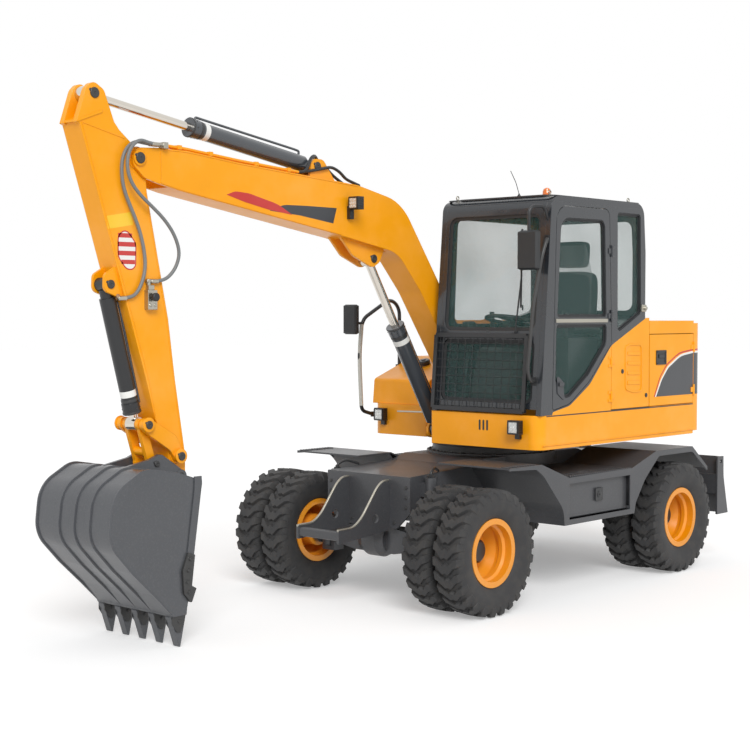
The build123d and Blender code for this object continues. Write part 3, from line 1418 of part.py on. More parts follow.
def body_lamps():
    """The two work lamps on the skirt's front."""
    lamps = []
    for x, y in ((CAB_FRONT + 18, 800.0), (HOUSING_FRONT, -830.0)):
        foot = block(x, x + 26, y - 20, y + 20, 1150, 1215)
        case = block(x + 26, x + 76, y - 50, y + 50, 1185, 1285)
        lamps.append(foot + case)
    return lamps


save("front_guard", front_guard())
save("body_lamps", *body_lamps())


def tube_path(points, radii, radius):
    """A round tube swept along straight runs with rounded corners."""
    path = FilletPolyline(*points, radius=radii)
    start = Plane(origin=path @ 0, z_dir=path % 0)
    return sweep(start * Circle(radius), path=path)


def left_mirror():
    """The left mirror on its bent tube."""
    tube = tube_path(
        [(462, 940, 2690), (520, 940, 2790), (640, 900, 2790), (640, 900, 2560)],
        [40, 60],
        12,
    )
    glass = block(618, 662, 820, 980, 2350, 2610)
    return joined([tube, glass]) - side_plate(CAB_ROWS, CAB_RIGHT_Y, SIDE_HALF)


def right_mirror():
    """The handrail of the right housing with its mirror."""
    tube = tube_path(
        [(HOUSING_FRONT - 20, -985, 1226), (320, -985, 1260), (345, -985, 1700), (310, -985, 1990), (-140, -985, 2215), (-140, -985, 1600)],
        [60, 200, 120, 120],
        15,
    )
    arm_bar = bar((310, -985, 1960), (420, -1000, 1960), 11)
    glass = block(410, 450, -1060, -930, 1880, 2100)
    foot = block(-170, -110, -1000, -SIDE_HALF, 1560, 1620)
    low_foot = block(HOUSING_FRONT - 40, HOUSING_FRONT, -985, -SIDE_HALF, 1205, 1247)
    return joined([tube, arm_bar, glass, foot, low_foot])


save("mirrors", left_mirror(), right_mirror())
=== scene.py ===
import math
import bpy
import bmesh
from mathutils import Matrix, Vector


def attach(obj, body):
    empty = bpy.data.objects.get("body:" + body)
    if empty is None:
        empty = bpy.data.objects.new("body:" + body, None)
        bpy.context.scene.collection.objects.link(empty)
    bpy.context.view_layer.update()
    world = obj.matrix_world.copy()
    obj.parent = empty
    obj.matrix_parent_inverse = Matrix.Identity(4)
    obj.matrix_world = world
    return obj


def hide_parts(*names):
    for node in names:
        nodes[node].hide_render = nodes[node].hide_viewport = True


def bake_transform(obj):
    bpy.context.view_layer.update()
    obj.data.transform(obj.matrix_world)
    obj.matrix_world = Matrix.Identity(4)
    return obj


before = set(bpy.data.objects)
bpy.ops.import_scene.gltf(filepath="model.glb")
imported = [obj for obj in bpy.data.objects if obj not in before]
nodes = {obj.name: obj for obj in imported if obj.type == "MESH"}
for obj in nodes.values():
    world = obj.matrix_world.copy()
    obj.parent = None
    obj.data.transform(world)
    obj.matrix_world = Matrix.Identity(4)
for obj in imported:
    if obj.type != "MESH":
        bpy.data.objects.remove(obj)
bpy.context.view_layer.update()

# The camera stands left of the machine's front corner, a little below the cab's waist,
# as in the photograph, with a lens of normal length.
CAMERA_PLACE = Vector((8.2447, 7.1296, 2.0463))
CAMERA_TURN = math.radians(42.166)
CAMERA_DIP = math.radians(2.400)
lens = bpy.data.cameras.new("camera")
lens.lens = 71.77
lens.sensor_width = 36.0
camera = bpy.data.objects.new("camera", lens)
bpy.context.scene.collection.objects.link(camera)
looks_along = Vector((-math.cos(CAMERA_TURN) * math.cos(CAMERA_DIP),
                      -math.sin(CAMERA_TURN) * math.cos(CAMERA_DIP), -math.sin(CAMERA_DIP)))
camera.location = CAMERA_PLACE
camera.rotation_euler = looks_along.to_track_quat("-Z", "Y").to_euler()
bpy.context.scene.camera = camera
bpy.context.scene.view_settings.view_transform = "Standard"


# The floor and the light: a pale matt floor that keeps the machine's shadow, a plain sky and
# one broad sun from the front left, so that a colour shows about as it is written.
FLOOR_HALF = 60.0
FLOOR_GLOW = 0.30
SKY_LEVEL = 0.60
SUN_LEVEL = 2.08
SUN_SPREAD = 28.0
SUN_WAY = (-0.72, -0.86, -0.78)


class Signal:
    """One value, colour or vector in a finish, whose maths is written as plain arithmetic."""

    def __init__(self, tree, socket):
        self.tree = tree
        self.socket = socket

    @staticmethod
    def plug(tree, socket, value):
        if isinstance(value, Signal):
            tree.links.new(value.socket, socket)
        elif value is not None:
            socket.default_value = value

    @staticmethod
    def node(tree, kind, settings=None, sockets=None, out=0):
        made = tree.nodes.new(kind)
        for name, value in (settings or {}).items():
            setattr(made, name, value)
        for name, value in (sockets or {}).items():
            Signal.plug(tree, made.inputs[name], value)
        return Signal(tree, made.outputs[out]) if made.outputs else made

    def math(self, operation, other):
        return Signal.node(self.tree, "ShaderNodeMath", {"operation": operation}, {0: self, 1: other})

    def __mul__(self, other):
        return self.math("MULTIPLY", other)

    __rmul__ = __mul__

    def between(self, low, high, low_to=0.0, high_to=1.0):
        return Signal.node(self.tree, "ShaderNodeMapRange", {},
                           {"Value": self, "From Min": low, "From Max": high,
                            "To Min": low_to, "To Max": high_to})

    def blend(self, first, second):
        return Signal.node(self.tree, "ShaderNodeMix", {"data_type": "RGBA"},
                           {0: self, 6: first, 7: second}, out=2)


def camera_sees(tree):
    """One where the camera looks straight at a surface, in a mirror or through glass."""
    seen = Signal.node(tree, "ShaderNodeLightPath", out="Is Camera Ray")
    gloss = Signal.node(tree, "ShaderNodeLightPath", out="Is Glossy Ray")
    through = Signal.node(tree, "ShaderNodeLightPath", out="Is Transmission Ray")
    return seen.math("MAXIMUM", gloss.math("MAXIMUM", through))


floor_mesh = bpy.data.meshes.new("floor")
floor_mesh.from_pydata([(-FLOOR_HALF, -FLOOR_HALF, 0), (FLOOR_HALF, -FLOOR_HALF, 0),
                        (FLOOR_HALF, FLOOR_HALF, 0), (-FLOOR_HALF, FLOOR_HALF, 0)], [], [(0, 1, 2, 3)])
floor = bpy.data.objects.new("floor", floor_mesh)
bpy.context.scene.collection.objects.link(floor)
floor_finish = bpy.data.materials.new("floor")
floor_finish.use_nodes = True
tree = floor_finish.node_tree
tree.nodes.clear()
matt = Signal.node(tree, "ShaderNodeBsdfDiffuse", {}, {"Color": (0.80, 0.80, 0.80, 1.0)})
glow = Signal.node(tree, "ShaderNodeEmission", {}, {"Color": (1.0, 1.0, 1.0, 1.0), "Strength": FLOOR_GLOW})
dark = Signal.node(tree, "ShaderNodeEmission", {}, {"Color": (0.0, 0.0, 0.0, 1.0), "Strength": 0.0})
lift = Signal.node(tree, "ShaderNodeMixShader", {}, {0: camera_sees(tree), 1: dark, 2: glow})
both = Signal.node(tree, "ShaderNodeAddShader", {}, {0: matt, 1: lift})
Signal.node(tree, "ShaderNodeOutputMaterial", {}, {"Surface": both})
floor_mesh.materials.append(floor_finish)

world = bpy.data.worlds.new("sky")
bpy.context.scene.world = world
world.use_nodes = True
tree = world.node_tree
tree.nodes.clear()
plain = Signal.node(tree, "ShaderNodeBackground", {}, {"Color": (1, 1, 1, 1), "Strength": SKY_LEVEL})
white = Signal.node(tree, "ShaderNodeBackground", {}, {"Color": (1, 1, 1, 1), "Strength": 1.0})
sky = Signal.node(tree, "ShaderNodeMixShader", {}, {0: camera_sees(tree), 1: plain, 2: white})
Signal.node(tree, "ShaderNodeOutputWorld", {}, {"Surface": sky})

sun_light = bpy.data.lights.new("sun", "SUN")
sun_light.energy = SUN_LEVEL
sun_light.angle = math.radians(SUN_SPREAD)
sun = bpy.data.objects.new("sun", sun_light)
bpy.context.scene.collection.objects.link(sun)
sun.rotation_euler = Vector(SUN_WAY).to_track_quat("-Z", "Y").to_euler()


# The two hoses from the boom's tip to the arm: steel-braided rubber 22 mm thick that hangs
# in loose loops. Each is crimped into a zinc fitting at both ends.
MACHINE_X = 874.0
HOSE_THICK = 22.0
BOOM_PORTS = ((3150, -70, 3078), (3150, -96, 3078))
HOSE_ROUTES = {
    "arm_hose": [(3150, -70, 3078), (3222, -70, 3080), (3300, -64, 3098), (3364, -61, 3060),
                 (3402, -60, 2994), (3406, -60, 2905), (3370, -60, 2822), (3302, -60, 2755),
                 (3212, -60, 2692), (3114, -60, 2617), (3035, -60, 2524), (2994, -62, 2420),
                 (3012, -74, 2332), (3062, -90, 2264), (3130, -99, 2238), (3195, -100, 2238)],
    "cylinder_hose": [(3150, -96, 3078), (3232, -96, 3080), (3316, -94, 3090), (3386, -94, 3042),
                      (3420, -93, 2966), (3424, -92, 2876), (3406, -92, 2788), (3366, -92, 2704),
                      (3322, -92, 2622), (3282, -92, 2530), (3254, -93, 2432), (3242, -94, 2330),
                      (3264, -95, 2236), (3314, -96, 2156), (3372, -100, 2134), (3430, -118, 2130)],
}
HOSE_LENGTHS = {}


def at(x, y, z):
    """A place in the machine's own millimetres: x forward from midway between the axles, y to the
    cab's side, z up from the ground. The frame's origin is MACHINE_X ahead of that one."""
    return Vector((x - MACHINE_X, y, z)) / 1000.0


def linear(red, green, blue):
    """A colour as it looks on a screen, 0 to 255, as Blender's linear numbers."""
    def one(level):
        level = level / 255.0
        return level / 12.92 if level < 0.04045 else ((level + 0.055) / 1.055) ** 2.4
    return (one(red), one(green), one(blue), 1.0)


def surface(name, colour, rough=0.35, metal=0.0, coat=0.0, edge=0.003, grain=260.0, depth=0.05, dust=0.0,
            speck=0.0):
    """A finish: a cloud shifts its colour and gloss, a fine skin is its bump, and edges are rounded."""
    finish = bpy.data.materials.new(name)
    finish.use_nodes = True
    tree = finish.node_tree
    shader = tree.nodes["Principled BSDF"]
    place = Signal.node(tree, "ShaderNodeTexCoord", out="Object")
    cloud = Signal.node(tree, "ShaderNodeTexNoise", {},
                        {"Vector": place, "Scale": 2.3, "Detail": 4.0, "Roughness": 0.6})
    skin = Signal.node(tree, "ShaderNodeTexNoise", {}, {"Vector": place, "Scale": grain, "Detail": 2.0})
    hue = Signal.node(tree, "ShaderNodeHueSaturation", {},
                      {"Color": colour, "Value": cloud.between(0.3, 0.7, 0.95, 1.04),
                       "Saturation": cloud.between(0.3, 0.7, 1.02, 0.97)})
    if dust:
        spots = Signal.node(tree, "ShaderNodeTexNoise", {}, {"Vector": place, "Scale": 14.0, "Detail": 6.0})
        hue = (spots.between(0.42, 0.72) * dust).blend(hue, linear(150, 140, 124))
    if speck:
        fleck = Signal.node(tree, "ShaderNodeTexNoise", {}, {"Vector": place, "Scale": 90.0, "Detail": 3.0})
        hue = (fleck.between(0.5, 0.75) * speck).blend(hue, linear(120, 120, 120))
    Signal.plug(tree, shader.inputs["Base Color"], hue)
    Signal.plug(tree, shader.inputs["Roughness"], cloud.between(0.3, 0.7, rough + 0.05, rough - 0.04))
    shader.inputs["Metallic"].default_value = metal
    shader.inputs["Coat Weight"].default_value = coat
    shader.inputs["Coat Roughness"].default_value = 0.08
    curve = Signal.node(tree, "ShaderNodeBevel", {"samples": 4}, {"Radius": edge})
    bump = Signal.node(tree, "ShaderNodeBump", {},
                       {"Strength": depth, "Distance": 0.002, "Height": skin, "Normal": curve})
    Signal.plug(tree, shader.inputs["Normal"], bump)
    return finish


hose_rubber = surface("hose_cover", linear(118, 121, 122), 0.5, grain=500.0, depth=0.25)
for name, route in HOSE_ROUTES.items():
    line = bpy.data.curves.new(name, "CURVE")
    line.dimensions = "3D"
    line.bevel_depth = HOSE_THICK / 2000.0
    line.bevel_resolution = 5
    line.resolution_u = 8
    line.use_fill_caps = True
    spline = line.splines.new("NURBS")
    spline.points.add(len(route) - 1)
    for point, spot in zip(spline.points, route):
        point.co = (*at(*spot), 1.0)
    spline.order_u = 3
    spline.use_endpoint_u = True
    line.materials.append(hose_rubber)
    bare = line.copy()
    bare.bevel_depth = 0.0
    probe = bpy.data.objects.new(name + "_line", bare)
    path = bpy.data.meshes.new_from_object(probe)
    spots = [vertex.co.copy() for vertex in path.vertices]
    reach = sum((b - a).length for a, b in zip(spots, spots[1:]))
    thick = bpy.data.objects.new(name + "_tube", line)
    hose = bpy.data.objects.new(name, bpy.data.meshes.new_from_object(thick))
    bpy.context.scene.collection.objects.link(hose)
    hose.data.shade_smooth()
    for spare in (probe, thick):
        bpy.data.objects.remove(spare)
    HOSE_LENGTHS[name] = round(reach, 3)
    tuple(at(3290, -80, 2988))
    tuple(at(3200, -90, 2290))
    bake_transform(hose)
    tuple(at(*route[0]))
print("hose lengths", HOSE_LENGTHS)


# The hoses' fittings, in zinc-plated steel: blocks on the boom's tip and on the arm, nipples with
# crimped collars, and the valve screwed to the arm, which has a knob of black plastic.
zinc = surface("zinc_fitting", linear(176, 172, 160), 0.30, metal=0.9, grain=90.0)
plastic = surface("black_plastic", linear(34, 36, 38), 0.5, grain=420.0, depth=0.3)
LAID = {"x": lambda s, v: (v, s.x, s.y), "y": lambda s, v: (s.x, v, s.y), "z": lambda s, v: (s.x, s.y, v)}


def rounded(rows, step=15.0):
    """A flat outline from rows of two coordinates and a corner radius."""
    spots = [Vector(row[:2]) for row in rows]
    radii = [row[2] if len(row) > 2 else 0 for row in rows]
    line = []
    for i, corner in enumerate(spots):
        before, after = spots[i - 1], spots[(i + 1) % len(spots)]
        if radii[i] <= 0:
            line.append(corner)
            continue
        back, ahead = before - corner, after - corner
        half = back.angle(ahead) / 2
        reach = min(radii[i] / math.tan(half), back.length * (0.49 if radii[i - 1] > 0 else 0.98),
                    ahead.length * (0.49 if radii[(i + 1) % len(spots)] > 0 else 0.98))
        radius = reach * math.tan(half)
        middle = corner + (back.normalized() + ahead.normalized()).normalized() * (radius / math.sin(half))
        first, last = corner + back.normalized() * reach, corner + ahead.normalized() * reach
        sweep = (first - middle).angle_signed(last - middle)
        count = max(2, math.ceil(abs(math.degrees(sweep)) / step))
        for k in range(count + 1):
            line.append(middle + Matrix.Rotation(-sweep * k / count, 2) @ (first - middle))
    return line


def inset(line, amount):
    """The same outline drawn in by an amount."""
    area = sum(a.x * b.y - a.y * b.x for a, b in zip(line, line[1:] + line[:1]))
    sign = 1 if area > 0 else -1
    inner = []
    for i, spot in enumerate(line):
        way = (line[(i + 1) % len(line)] - line[i - 1]).normalized()
        inner.append(spot + Vector((-way.y, way.x)) * amount * sign)
    return inner


def circle(middle, side, other, radius, sides):
    """Points round a middle, in the plane of two directions."""
    return [middle + (side * math.cos(2 * math.pi * k / sides)
                      + other * math.sin(2 * math.pi * k / sides)) * radius for k in range(sides)]


class Shape:
    """A mesh in the making."""

    def __init__(self):
        self.mesh = bmesh.new()

    def rings(self, rows, closed=False):
        """A skin over rings of points, capped at both ends or closed on itself."""
        made = [[self.mesh.verts.new(at(*spot)) for spot in ring] for ring in rows]
        pairs = list(zip(made, made[1:])) + ([(made[-1], made[0])] if closed else [])
        for low, high in pairs:
            for i in range(len(low)):
                k = (i + 1) % len(low)
                self.mesh.faces.new((low[i], low[k], high[k], high[i]))
        if not closed:
            self.mesh.faces.new(made[0][::-1])
            self.mesh.faces.new(made[-1])
        return self

    def plate(self, rows, low, high, across="y"):
        """An outline of the other two coordinates, from low to high."""
        place = LAID[across]
        line = rounded(rows)
        return self.rings([[place(spot, level) for spot in line] for level in (low, high)])

    def band(self, rows, width, low, high, across="y"):
        """A flat frame of a width inside an outline."""
        place = LAID[across]
        line = rounded(rows)
        rings = [[place(o, low), place(o, high), place(i, high), place(i, low)]
                 for o, i in zip(line, inset(line, width))]
        return self.rings(rings, closed=True)

    def box(self, x0, x1, y0, y1, z0, z1, edge=2.0):
        """A box with its edges taken off."""
        e = min(edge, (x1 - x0) / 3, (y1 - y0) / 3, (z1 - z0) / 3)
        def ring(z, c):
            return [(x0 + e + c, y0 + c, z), (x1 - e - c, y0 + c, z), (x1 - c, y0 + e + c, z),
                    (x1 - c, y1 - e - c, z), (x1 - e - c, y1 - c, z), (x0 + e + c, y1 - c, z),
                    (x0 + c, y1 - e - c, z), (x0 + c, y0 + e + c, z)]
        return self.rings([ring(z0, e), ring(z0 + e, 0), ring(z1 - e, 0), ring(z1, e)])

    def turned(self, start, way, rows, sides=32, hollow=False):
        """A round piece about a line, from rows of distance along it and radius."""
        start, way = Vector(start), Vector(way).normalized()
        side = way.orthogonal().normalized()
        other = way.cross(side)
        rings = [circle(start + way * distance, side, other, max(radius, 0.01), sides)
                 for distance, radius in rows]
        return self.rings(rings, closed=hollow)

    def bar(self, start, end, radius, sides=20, edge=1.5):
        length = (Vector(end) - Vector(start)).length
        rows = [(0, radius - edge), (edge, radius), (length - edge, radius), (length, radius - edge)]
        return self.turned(start, Vector(end) - Vector(start), rows, sides)

    def bolt(self, place, way, size=9.0):
        """A washer and a hexagon head on a face."""
        self.turned(place, way, [(0, size * 1.25), (size * 0.25, size * 1.25)], 20)
        return self.turned(Vector(place) + Vector(way).normalized() * size * 0.2, way,
                           [(0, size), (size * 0.6, size), (size * 0.75, size * 0.8)], 6)

    def tube(self, spots, radius, bend=0.0, sides=14):
        """A round tube through points, with its corners bent."""
        spots = [Vector(spot) for spot in spots]
        line = [spots[0]]
        for before, corner, after in zip(spots, spots[1:], spots[2:]):
            reach = min(bend, (before - corner).length * 0.48, (after - corner).length * 0.48)
            first = corner + (before - corner).normalized() * reach
            last = corner + (after - corner).normalized() * reach
            bent = [first.lerp(corner, t).lerp(corner.lerp(last, t), t) for t in (0, .2, .4, .6, .8, 1)]
            line += bent if bend else [corner]
        line.append(spots[-1])
        way = (line[1] - line[0]).normalized()
        side = way.orthogonal().normalized()
        rings = []
        for i, spot in enumerate(line):
            ahead = (line[min(i + 1, len(line) - 1)] - line[max(i - 1, 0)]).normalized()
            side = (side - ahead * side.dot(ahead)).normalized()
            other = ahead.cross(side)
            rings.append(circle(spot, side, other, radius, sides))
        return self.rings(rings)

    def done(self, name, body, finish, smooth=32.0):
        """The mesh as a piece that rides on a body."""
        bmesh.ops.recalc_face_normals(self.mesh, faces=self.mesh.faces)
        data = bpy.data.meshes.new(name)
        self.mesh.to_mesh(data)
        self.mesh.free()
        data.shade_smooth()
        data.set_sharp_from_angle(angle=math.radians(smooth))
        data.materials.append(finish)
        made = bpy.data.objects.new(name, data)
        bpy.context.scene.collection.objects.link(made)
        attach(made, body)
        return made


ports = Shape()
for x, y, z in BOOM_PORTS:
    ports.bar((x - 30, y, z), (x + 4, y, z), 13, 6)
    ports.bar((x - 2, y, z), (x + 58, y, z), 12.8)
    ports.bar((x + 6, y, z), (x + 14, y, z), 13, 6)
ports.box(3085, 3122, -109, -56, 3056, 3096)
ports.done("boom_ports", "boom", zinc)
valve = Shape()
valve.box(3163, 3236, -117, -76, 2062, 2184)
valve.box(3180, 3226, -117, -84, 2184, 2214)
valve.bar((3196, -100, 2238), (3232, -100, 2238), 14, 6)
valve.bar((3214, -100, 2190), (3214, -100, 2252), 13)
valve.bar((3142, -99, 2238), (3196, -100, 2238), 14.5)
valve.bolt((3180, -76, 2090), (0, 1, 0), 8)
valve.bolt((3220, -76, 2090), (0, 1, 0), 8)
valve.done("arm_valve", "arm", zinc)
knob = Shape()
knob.turned((3200, -76, 2140), (0, 1, 0), [(0, 14), (14, 14), (16, 26), (34, 27), (40, 22)], 12)
knob.done("arm_valve_knob", "arm", plastic)
fitting = Shape()
fitting.bar((3382, -103, 2133), (3434, -119, 2130), 14)
fitting.bar((3428, -112, 2130), (3428, -135, 2150), 13, 6)
fitting.done("cylinder_port", "arm", zinc)


# Tyres: block tread in zigzag bars from shoulder to shoulder, moulded on a rubber case with a
# plain sidewall and a bead that sits on the rim. Each piece is one wheel's pair.
rubber = surface("tyre_rubber", linear(46, 46, 47), 0.66, edge=0.002, grain=160.0, depth=0.2, dust=0.05)
PITCHES = 26
CASE_SIDES = 104
TYRE_MIDDLES = (682.5, 952.5)
AXLE_Z = 432.5
WHEELS = {"front_left": (1200, 1), "front_right": (1200, -1), "rear_left": (-1200, 1),
          "rear_right": (-1200, -1)}
CASE = [(-73, 204), (-74, 234), (-82, 240), (-97, 262), (-108, 290), (-115, 322), (-116, 352), (-110, 384),
        (-100, 402), (-80, 408), (0, 411), (80, 408), (100, 402), (110, 384), (116, 352), (115, 322),
        (108, 290), (97, 262), (82, 240), (74, 234), (73, 204)]
BAR = [  # y, crown radius, foot radius, turn in degrees, half width in degrees
    (-117.4, 366, 350, 5.6, 3.0), (-114, 398, 372, 5.2, 3.6), (-99, 427, 396, 4.6, 4.0),
    (-72, 430, 404, 3.4, 4.1), (-45, 432, 406, -0.4, 4.0), (-24, 432.5, 407, -3.0, 4.1),
    (0, 432.5, 408, -1.2, 4.6), (24, 432.5, 407, -3.0, 4.1), (45, 432, 406, -0.4, 4.0),
    (72, 430, 404, 3.4, 4.1), (99, 427, 396, 4.6, 4.0), (114, 398, 372, 5.2, 3.6),
    (117.4, 366, 350, 5.6, 3.0)]
for name, (x, side) in WHEELS.items():
    tyres = Shape()
    for middle in TYRE_MIDDLES:
        middle = middle * side
        rows = [[(x + radius * math.sin(2 * math.pi * k / CASE_SIDES), middle + y,
                  AXLE_Z + radius * math.cos(2 * math.pi * k / CASE_SIDES)) for k in range(CASE_SIDES)]
                for y, radius in CASE]
        tyres.rings(rows, closed=True)
        for pitch in range(PITCHES):
            rows = []
            for y, crown, foot, turn, half in BAR:
                ring = []
                for radius, way in ((foot, -1.2), (crown, -0.86), (crown, 0.86), (foot, 1.2)):
                    angle = math.radians(360 * pitch / PITCHES - turn + half * way)
                    dip = 0 if radius == crown else (10 if abs(y) > 110 else 0)
                    inner = y - math.copysign(dip, y)
                    ring.append((x + radius * math.sin(angle), middle + inner,
                                 AXLE_Z + radius * math.cos(angle)))
                rows.append(ring)
            tyres.rings(rows)
    made = tyres.done("tread_" + name, "wheel_" + name, rubber, smooth=28)
    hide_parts("tyres_" + name)


# The wheels: rims of pressed steel in orange paint, ten zinc nuts that hold them to the hub, the
# valve's stem, and the hub's cast cap in black with a ring of small bolts.
rim_paint = surface("rim_orange", linear(236, 151, 30), 0.32, coat=0.3)
black = surface("satin_black", linear(30, 31, 33), 0.40, coat=0.15)
DISC_Y = 817.5
NUTS = 10
NUT_CIRCLE = 132
CAP_BOLTS = 6
CAP_CIRCLE = 102


def paint(finish, names):
    """Gives CAD nodes their finish."""
    for name in names.split():
        for slot in nodes[name].material_slots:
            slot.material = finish


paint(rim_paint, "rims_front_left rims_front_right rims_rear_left rims_rear_right")
for name, (x, side) in WHEELS.items():
    nuts = Shape()
    for k in range(NUTS):
        angle = 2 * math.pi * k / NUTS
        nuts.bolt((x + NUT_CIRCLE * math.cos(angle), (DISC_Y + 0.5) * side,
                   AXLE_Z + NUT_CIRCLE * math.sin(angle)),
                  (0, side, 0), 13)
    nuts.done("nuts_" + name, "wheel_" + name, zinc)
    cap = Shape()
    cap.turned((x, (DISC_Y + 0.5) * side, AXLE_Z), (0, side, 0),
               [(0, 118), (10, 116), (14, 92), (60, 84), (80, 80), (92, 64), (94, 0)], 40)
    for k in range(CAP_BOLTS):
        angle = 2 * math.pi * (k + 0.5) / CAP_BOLTS
        cap.bolt((x + CAP_CIRCLE * math.cos(angle), (DISC_Y + 10) * side,
                  AXLE_Z + CAP_CIRCLE * math.sin(angle)),
                 (0, side, 0), 6)
    cap.done("hub_cap_" + name, "wheel_" + name, black)
    stem = Shape()
    stem.tube([(x + 150, (DISC_Y + 2) * side, AXLE_Z + 60), (x + 158, (DISC_Y + 40) * side, AXLE_Z + 66),
               (x + 150, (DISC_Y + 90) * side, AXLE_Z + 62)], 4.5, 14)
    stem.done("valve_stem_" + name, "wheel_" + name, zinc)


# The boom, arm and links: welded plate in the machine's yellow. Dark steel pins turn in their
# eyes, and each has a round head and a keeper bolt on both sides.
yellow = surface("machine_yellow", linear(250, 164, 2), 0.36, coat=0.10, edge=0.006)
yellow.node_tree.nodes["Principled BSDF"].inputs["Specular IOR Level"].default_value = 0.32
dark_steel = surface("dark_steel", linear(70, 70, 70), 0.45, metal=0.5, grain=150.0, depth=0.1)
paint(yellow, "boom arm rocker push_link")
WORK_Y = -200
PINS = [  # name, body, x, z, y of the face, radius
    ("tip", "boom", 3290, 2988, -78, 34), ("boom_eye", "boom", 1110, 2433, -135, 30),
    ("arm_base", "boom", 1690, 3055, -135, 30), ("arm_eye", "arm", 3604, 3352, -115, 32),
    ("bucket_base", "arm", 3478, 2216, -135, 27), ("rocker", "rocker", 2992, 1143, -58, 27),
    ("cylinder_eye", "rocker", 3251, 1354, -58, 26), ("bucket_ear", "bucket", 2978, 1013, -82, 27),
    ("bucket_link", "bucket", 3172, 1106, -82, 20), ("boom_foot", "upper", -60, 1430, -60, 34)]
for name, body, x, z, y, radius in PINS:
    for face, way in ((y, 1), (2 * WORK_Y - y, -1)):
        pin = Shape()
        pin.turned((x, face - way * 2, z), (0, way, 0), [(0, radius), (8, radius), (11, radius - 3),
                                                         (11, 7), (8, 5), (8, 0)], 36)
        pin.bolt((x + radius * 0.95, face - way * 1, z + radius * 0.5), (0, way, 0), 7)
        pin.done(f"pin_{name}_{'left' if way > 0 else 'right'}", body, dark_steel)


# The boom's pipes: two drawn steel pipes on its back under clamps, in the same yellow, and the
# bent black ones that stand at the foot of the arm cylinder.
boom_pipes = Shape()
PIPE_WAY = [(3085, 3074), (3005, 3071), (2903, 3066), (2450, 3026), (1900, 2990)]
for y in (-112, -150):
    boom_pipes.tube([(x, y, z + 9) for x, z in PIPE_WAY], 10, 40)
for x, z in ((2960, 3068), (2700, 3048), (2300, 3014), (2000, 2996)):
    boom_pipes.box(x - 16, x + 16, -172, -92, z - 4, z + 24)
boom_pipes.done("boom_pipes", "boom", yellow)

foot_pipes = Shape()
foot_pipes.tube([(1900, -112, 2999), (1840, -108, 3004), (1800, -116, 3050), (1760, -128, 3110),
                 (1700, -150, 3130), (1650, -175, 3100)], 11, 40)
foot_pipes.tube([(1900, -150, 2999), (1800, -130, 3010), (1650, -120, 3040), (1560, -126, 3060),
                 (1470, -130, 3030), (1400, -140, 2985), (1250, -150, 2950)], 11, 60)
foot_pipes.tube([(1620, -250, 3120), (1540, -252, 3110), (1440, -240, 3020), (1330, -230, 2960)], 11, 50)
foot_pipes.done("boom_foot_pipes", "boom", black)


# The welds of boom and arm: a low bead of steel where the side plates meet the flanges, under
# the same yellow paint.
BOOM_LEFT = -90.0
ARM_LEFT = -115.0
welds = Shape()
for spots in ([(3120, BOOM_LEFT, 2846), (2959, BOOM_LEFT, 2812), (1500, BOOM_LEFT, 2590)],
              [(3120, BOOM_LEFT, 3052), (2903, BOOM_LEFT, 3052), (2450, BOOM_LEFT, 3010),
               (1330, BOOM_LEFT, 2937)],
              [(3120, BOOM_LEFT, 2846), (3120, BOOM_LEFT, 3052)]):
    welds.tube(spots, 3.5, 60, 8)
welds.done("boom_welds", "boom", yellow)
arm_welds = Shape()
for spots in ([(3210, ARM_LEFT, 1640), (3484, ARM_LEFT, 2498), (3698, ARM_LEFT, 3170)],
              [(2934, ARM_LEFT, 1170), (3008, ARM_LEFT, 1618), (3062, ARM_LEFT, 2000),
               (3222, ARM_LEFT, 2780)],
              [(3155, ARM_LEFT, 1405), (3208, ARM_LEFT, 1640)],
              [(3385, ARM_LEFT, 3100), (3690, ARM_LEFT, 3168)]):
    arm_welds.tube(spots, 3.5, 60, 8)
arm_welds.done("arm_welds", "arm", yellow)


# Stripes and blank plates: a red and a graphite sweep on the boom, a red and white oval and a
# blank yellow plate on the arm. All are thin printed film, stuck to the plate.
label_dark = surface("label_graphite", linear(56, 58, 62), 0.35, coat=0.2, edge=0.0005)
label_red = surface("label_red", linear(196, 44, 38), 0.35, coat=0.2, edge=0.0005)
label_white = surface("label_white", linear(232, 232, 228), 0.4, coat=0.2, edge=0.0005)
label_yellow = surface("label_yellow", linear(244, 196, 30), 0.4, coat=0.2, edge=0.0005)
sweep = Shape()
sweep.plate([(2190, 2722), (2060, 2768, 200), (1850, 2772, 400), (1545, 2772), (1580, 2664),
             (1905, 2704, 500)], BOOM_LEFT - 0.2, BOOM_LEFT + 0.8)
sweep.done("boom_sweep_graphite", "boom", label_dark)
sweep = Shape()
sweep.plate([(2575, 2806), (2500, 2832, 90), (2380, 2826, 200), (2110, 2768, 400), (1980, 2704),
             (2200, 2728, 400), (2420, 2768, 300)], BOOM_LEFT, BOOM_LEFT + 1.3)
sweep.done("boom_sweep_red", "boom", label_red)
oval_rows = [(3372, 2556, 66), (3296, 2470, 66), (3300, 2310, 60), (3372, 2300, 60), (3440, 2380, 66),
             (3440, 2520, 66)]
oval = Shape()
oval.plate(oval_rows, ARM_LEFT - 0.2, ARM_LEFT + 0.8)
oval.done("arm_oval_white", "arm", label_white)
oval = Shape()
oval.band(oval_rows, 8, ARM_LEFT, ARM_LEFT + 1.2)
for low, high, left, right in ((2500, 2527, 3330, 3436), (2446, 2474, 3300, 3438), (2392, 2420, 3302, 3436),
                               (2340, 2366, 3308, 3412)):
    oval.plate([(left, low), (right, low), (right, high), (left, high)], ARM_LEFT, ARM_LEFT + 1.2)
oval.done("arm_oval_red", "arm", label_red)
blank = Shape()
blank.plate([(3525, 2625, 8), (3335, 2658, 8), (3320, 2580, 8), (3511, 2547, 8)], ARM_LEFT - 0.2,
            ARM_LEFT + 0.8)
blank.done("arm_plate_blank", "arm", label_yellow)


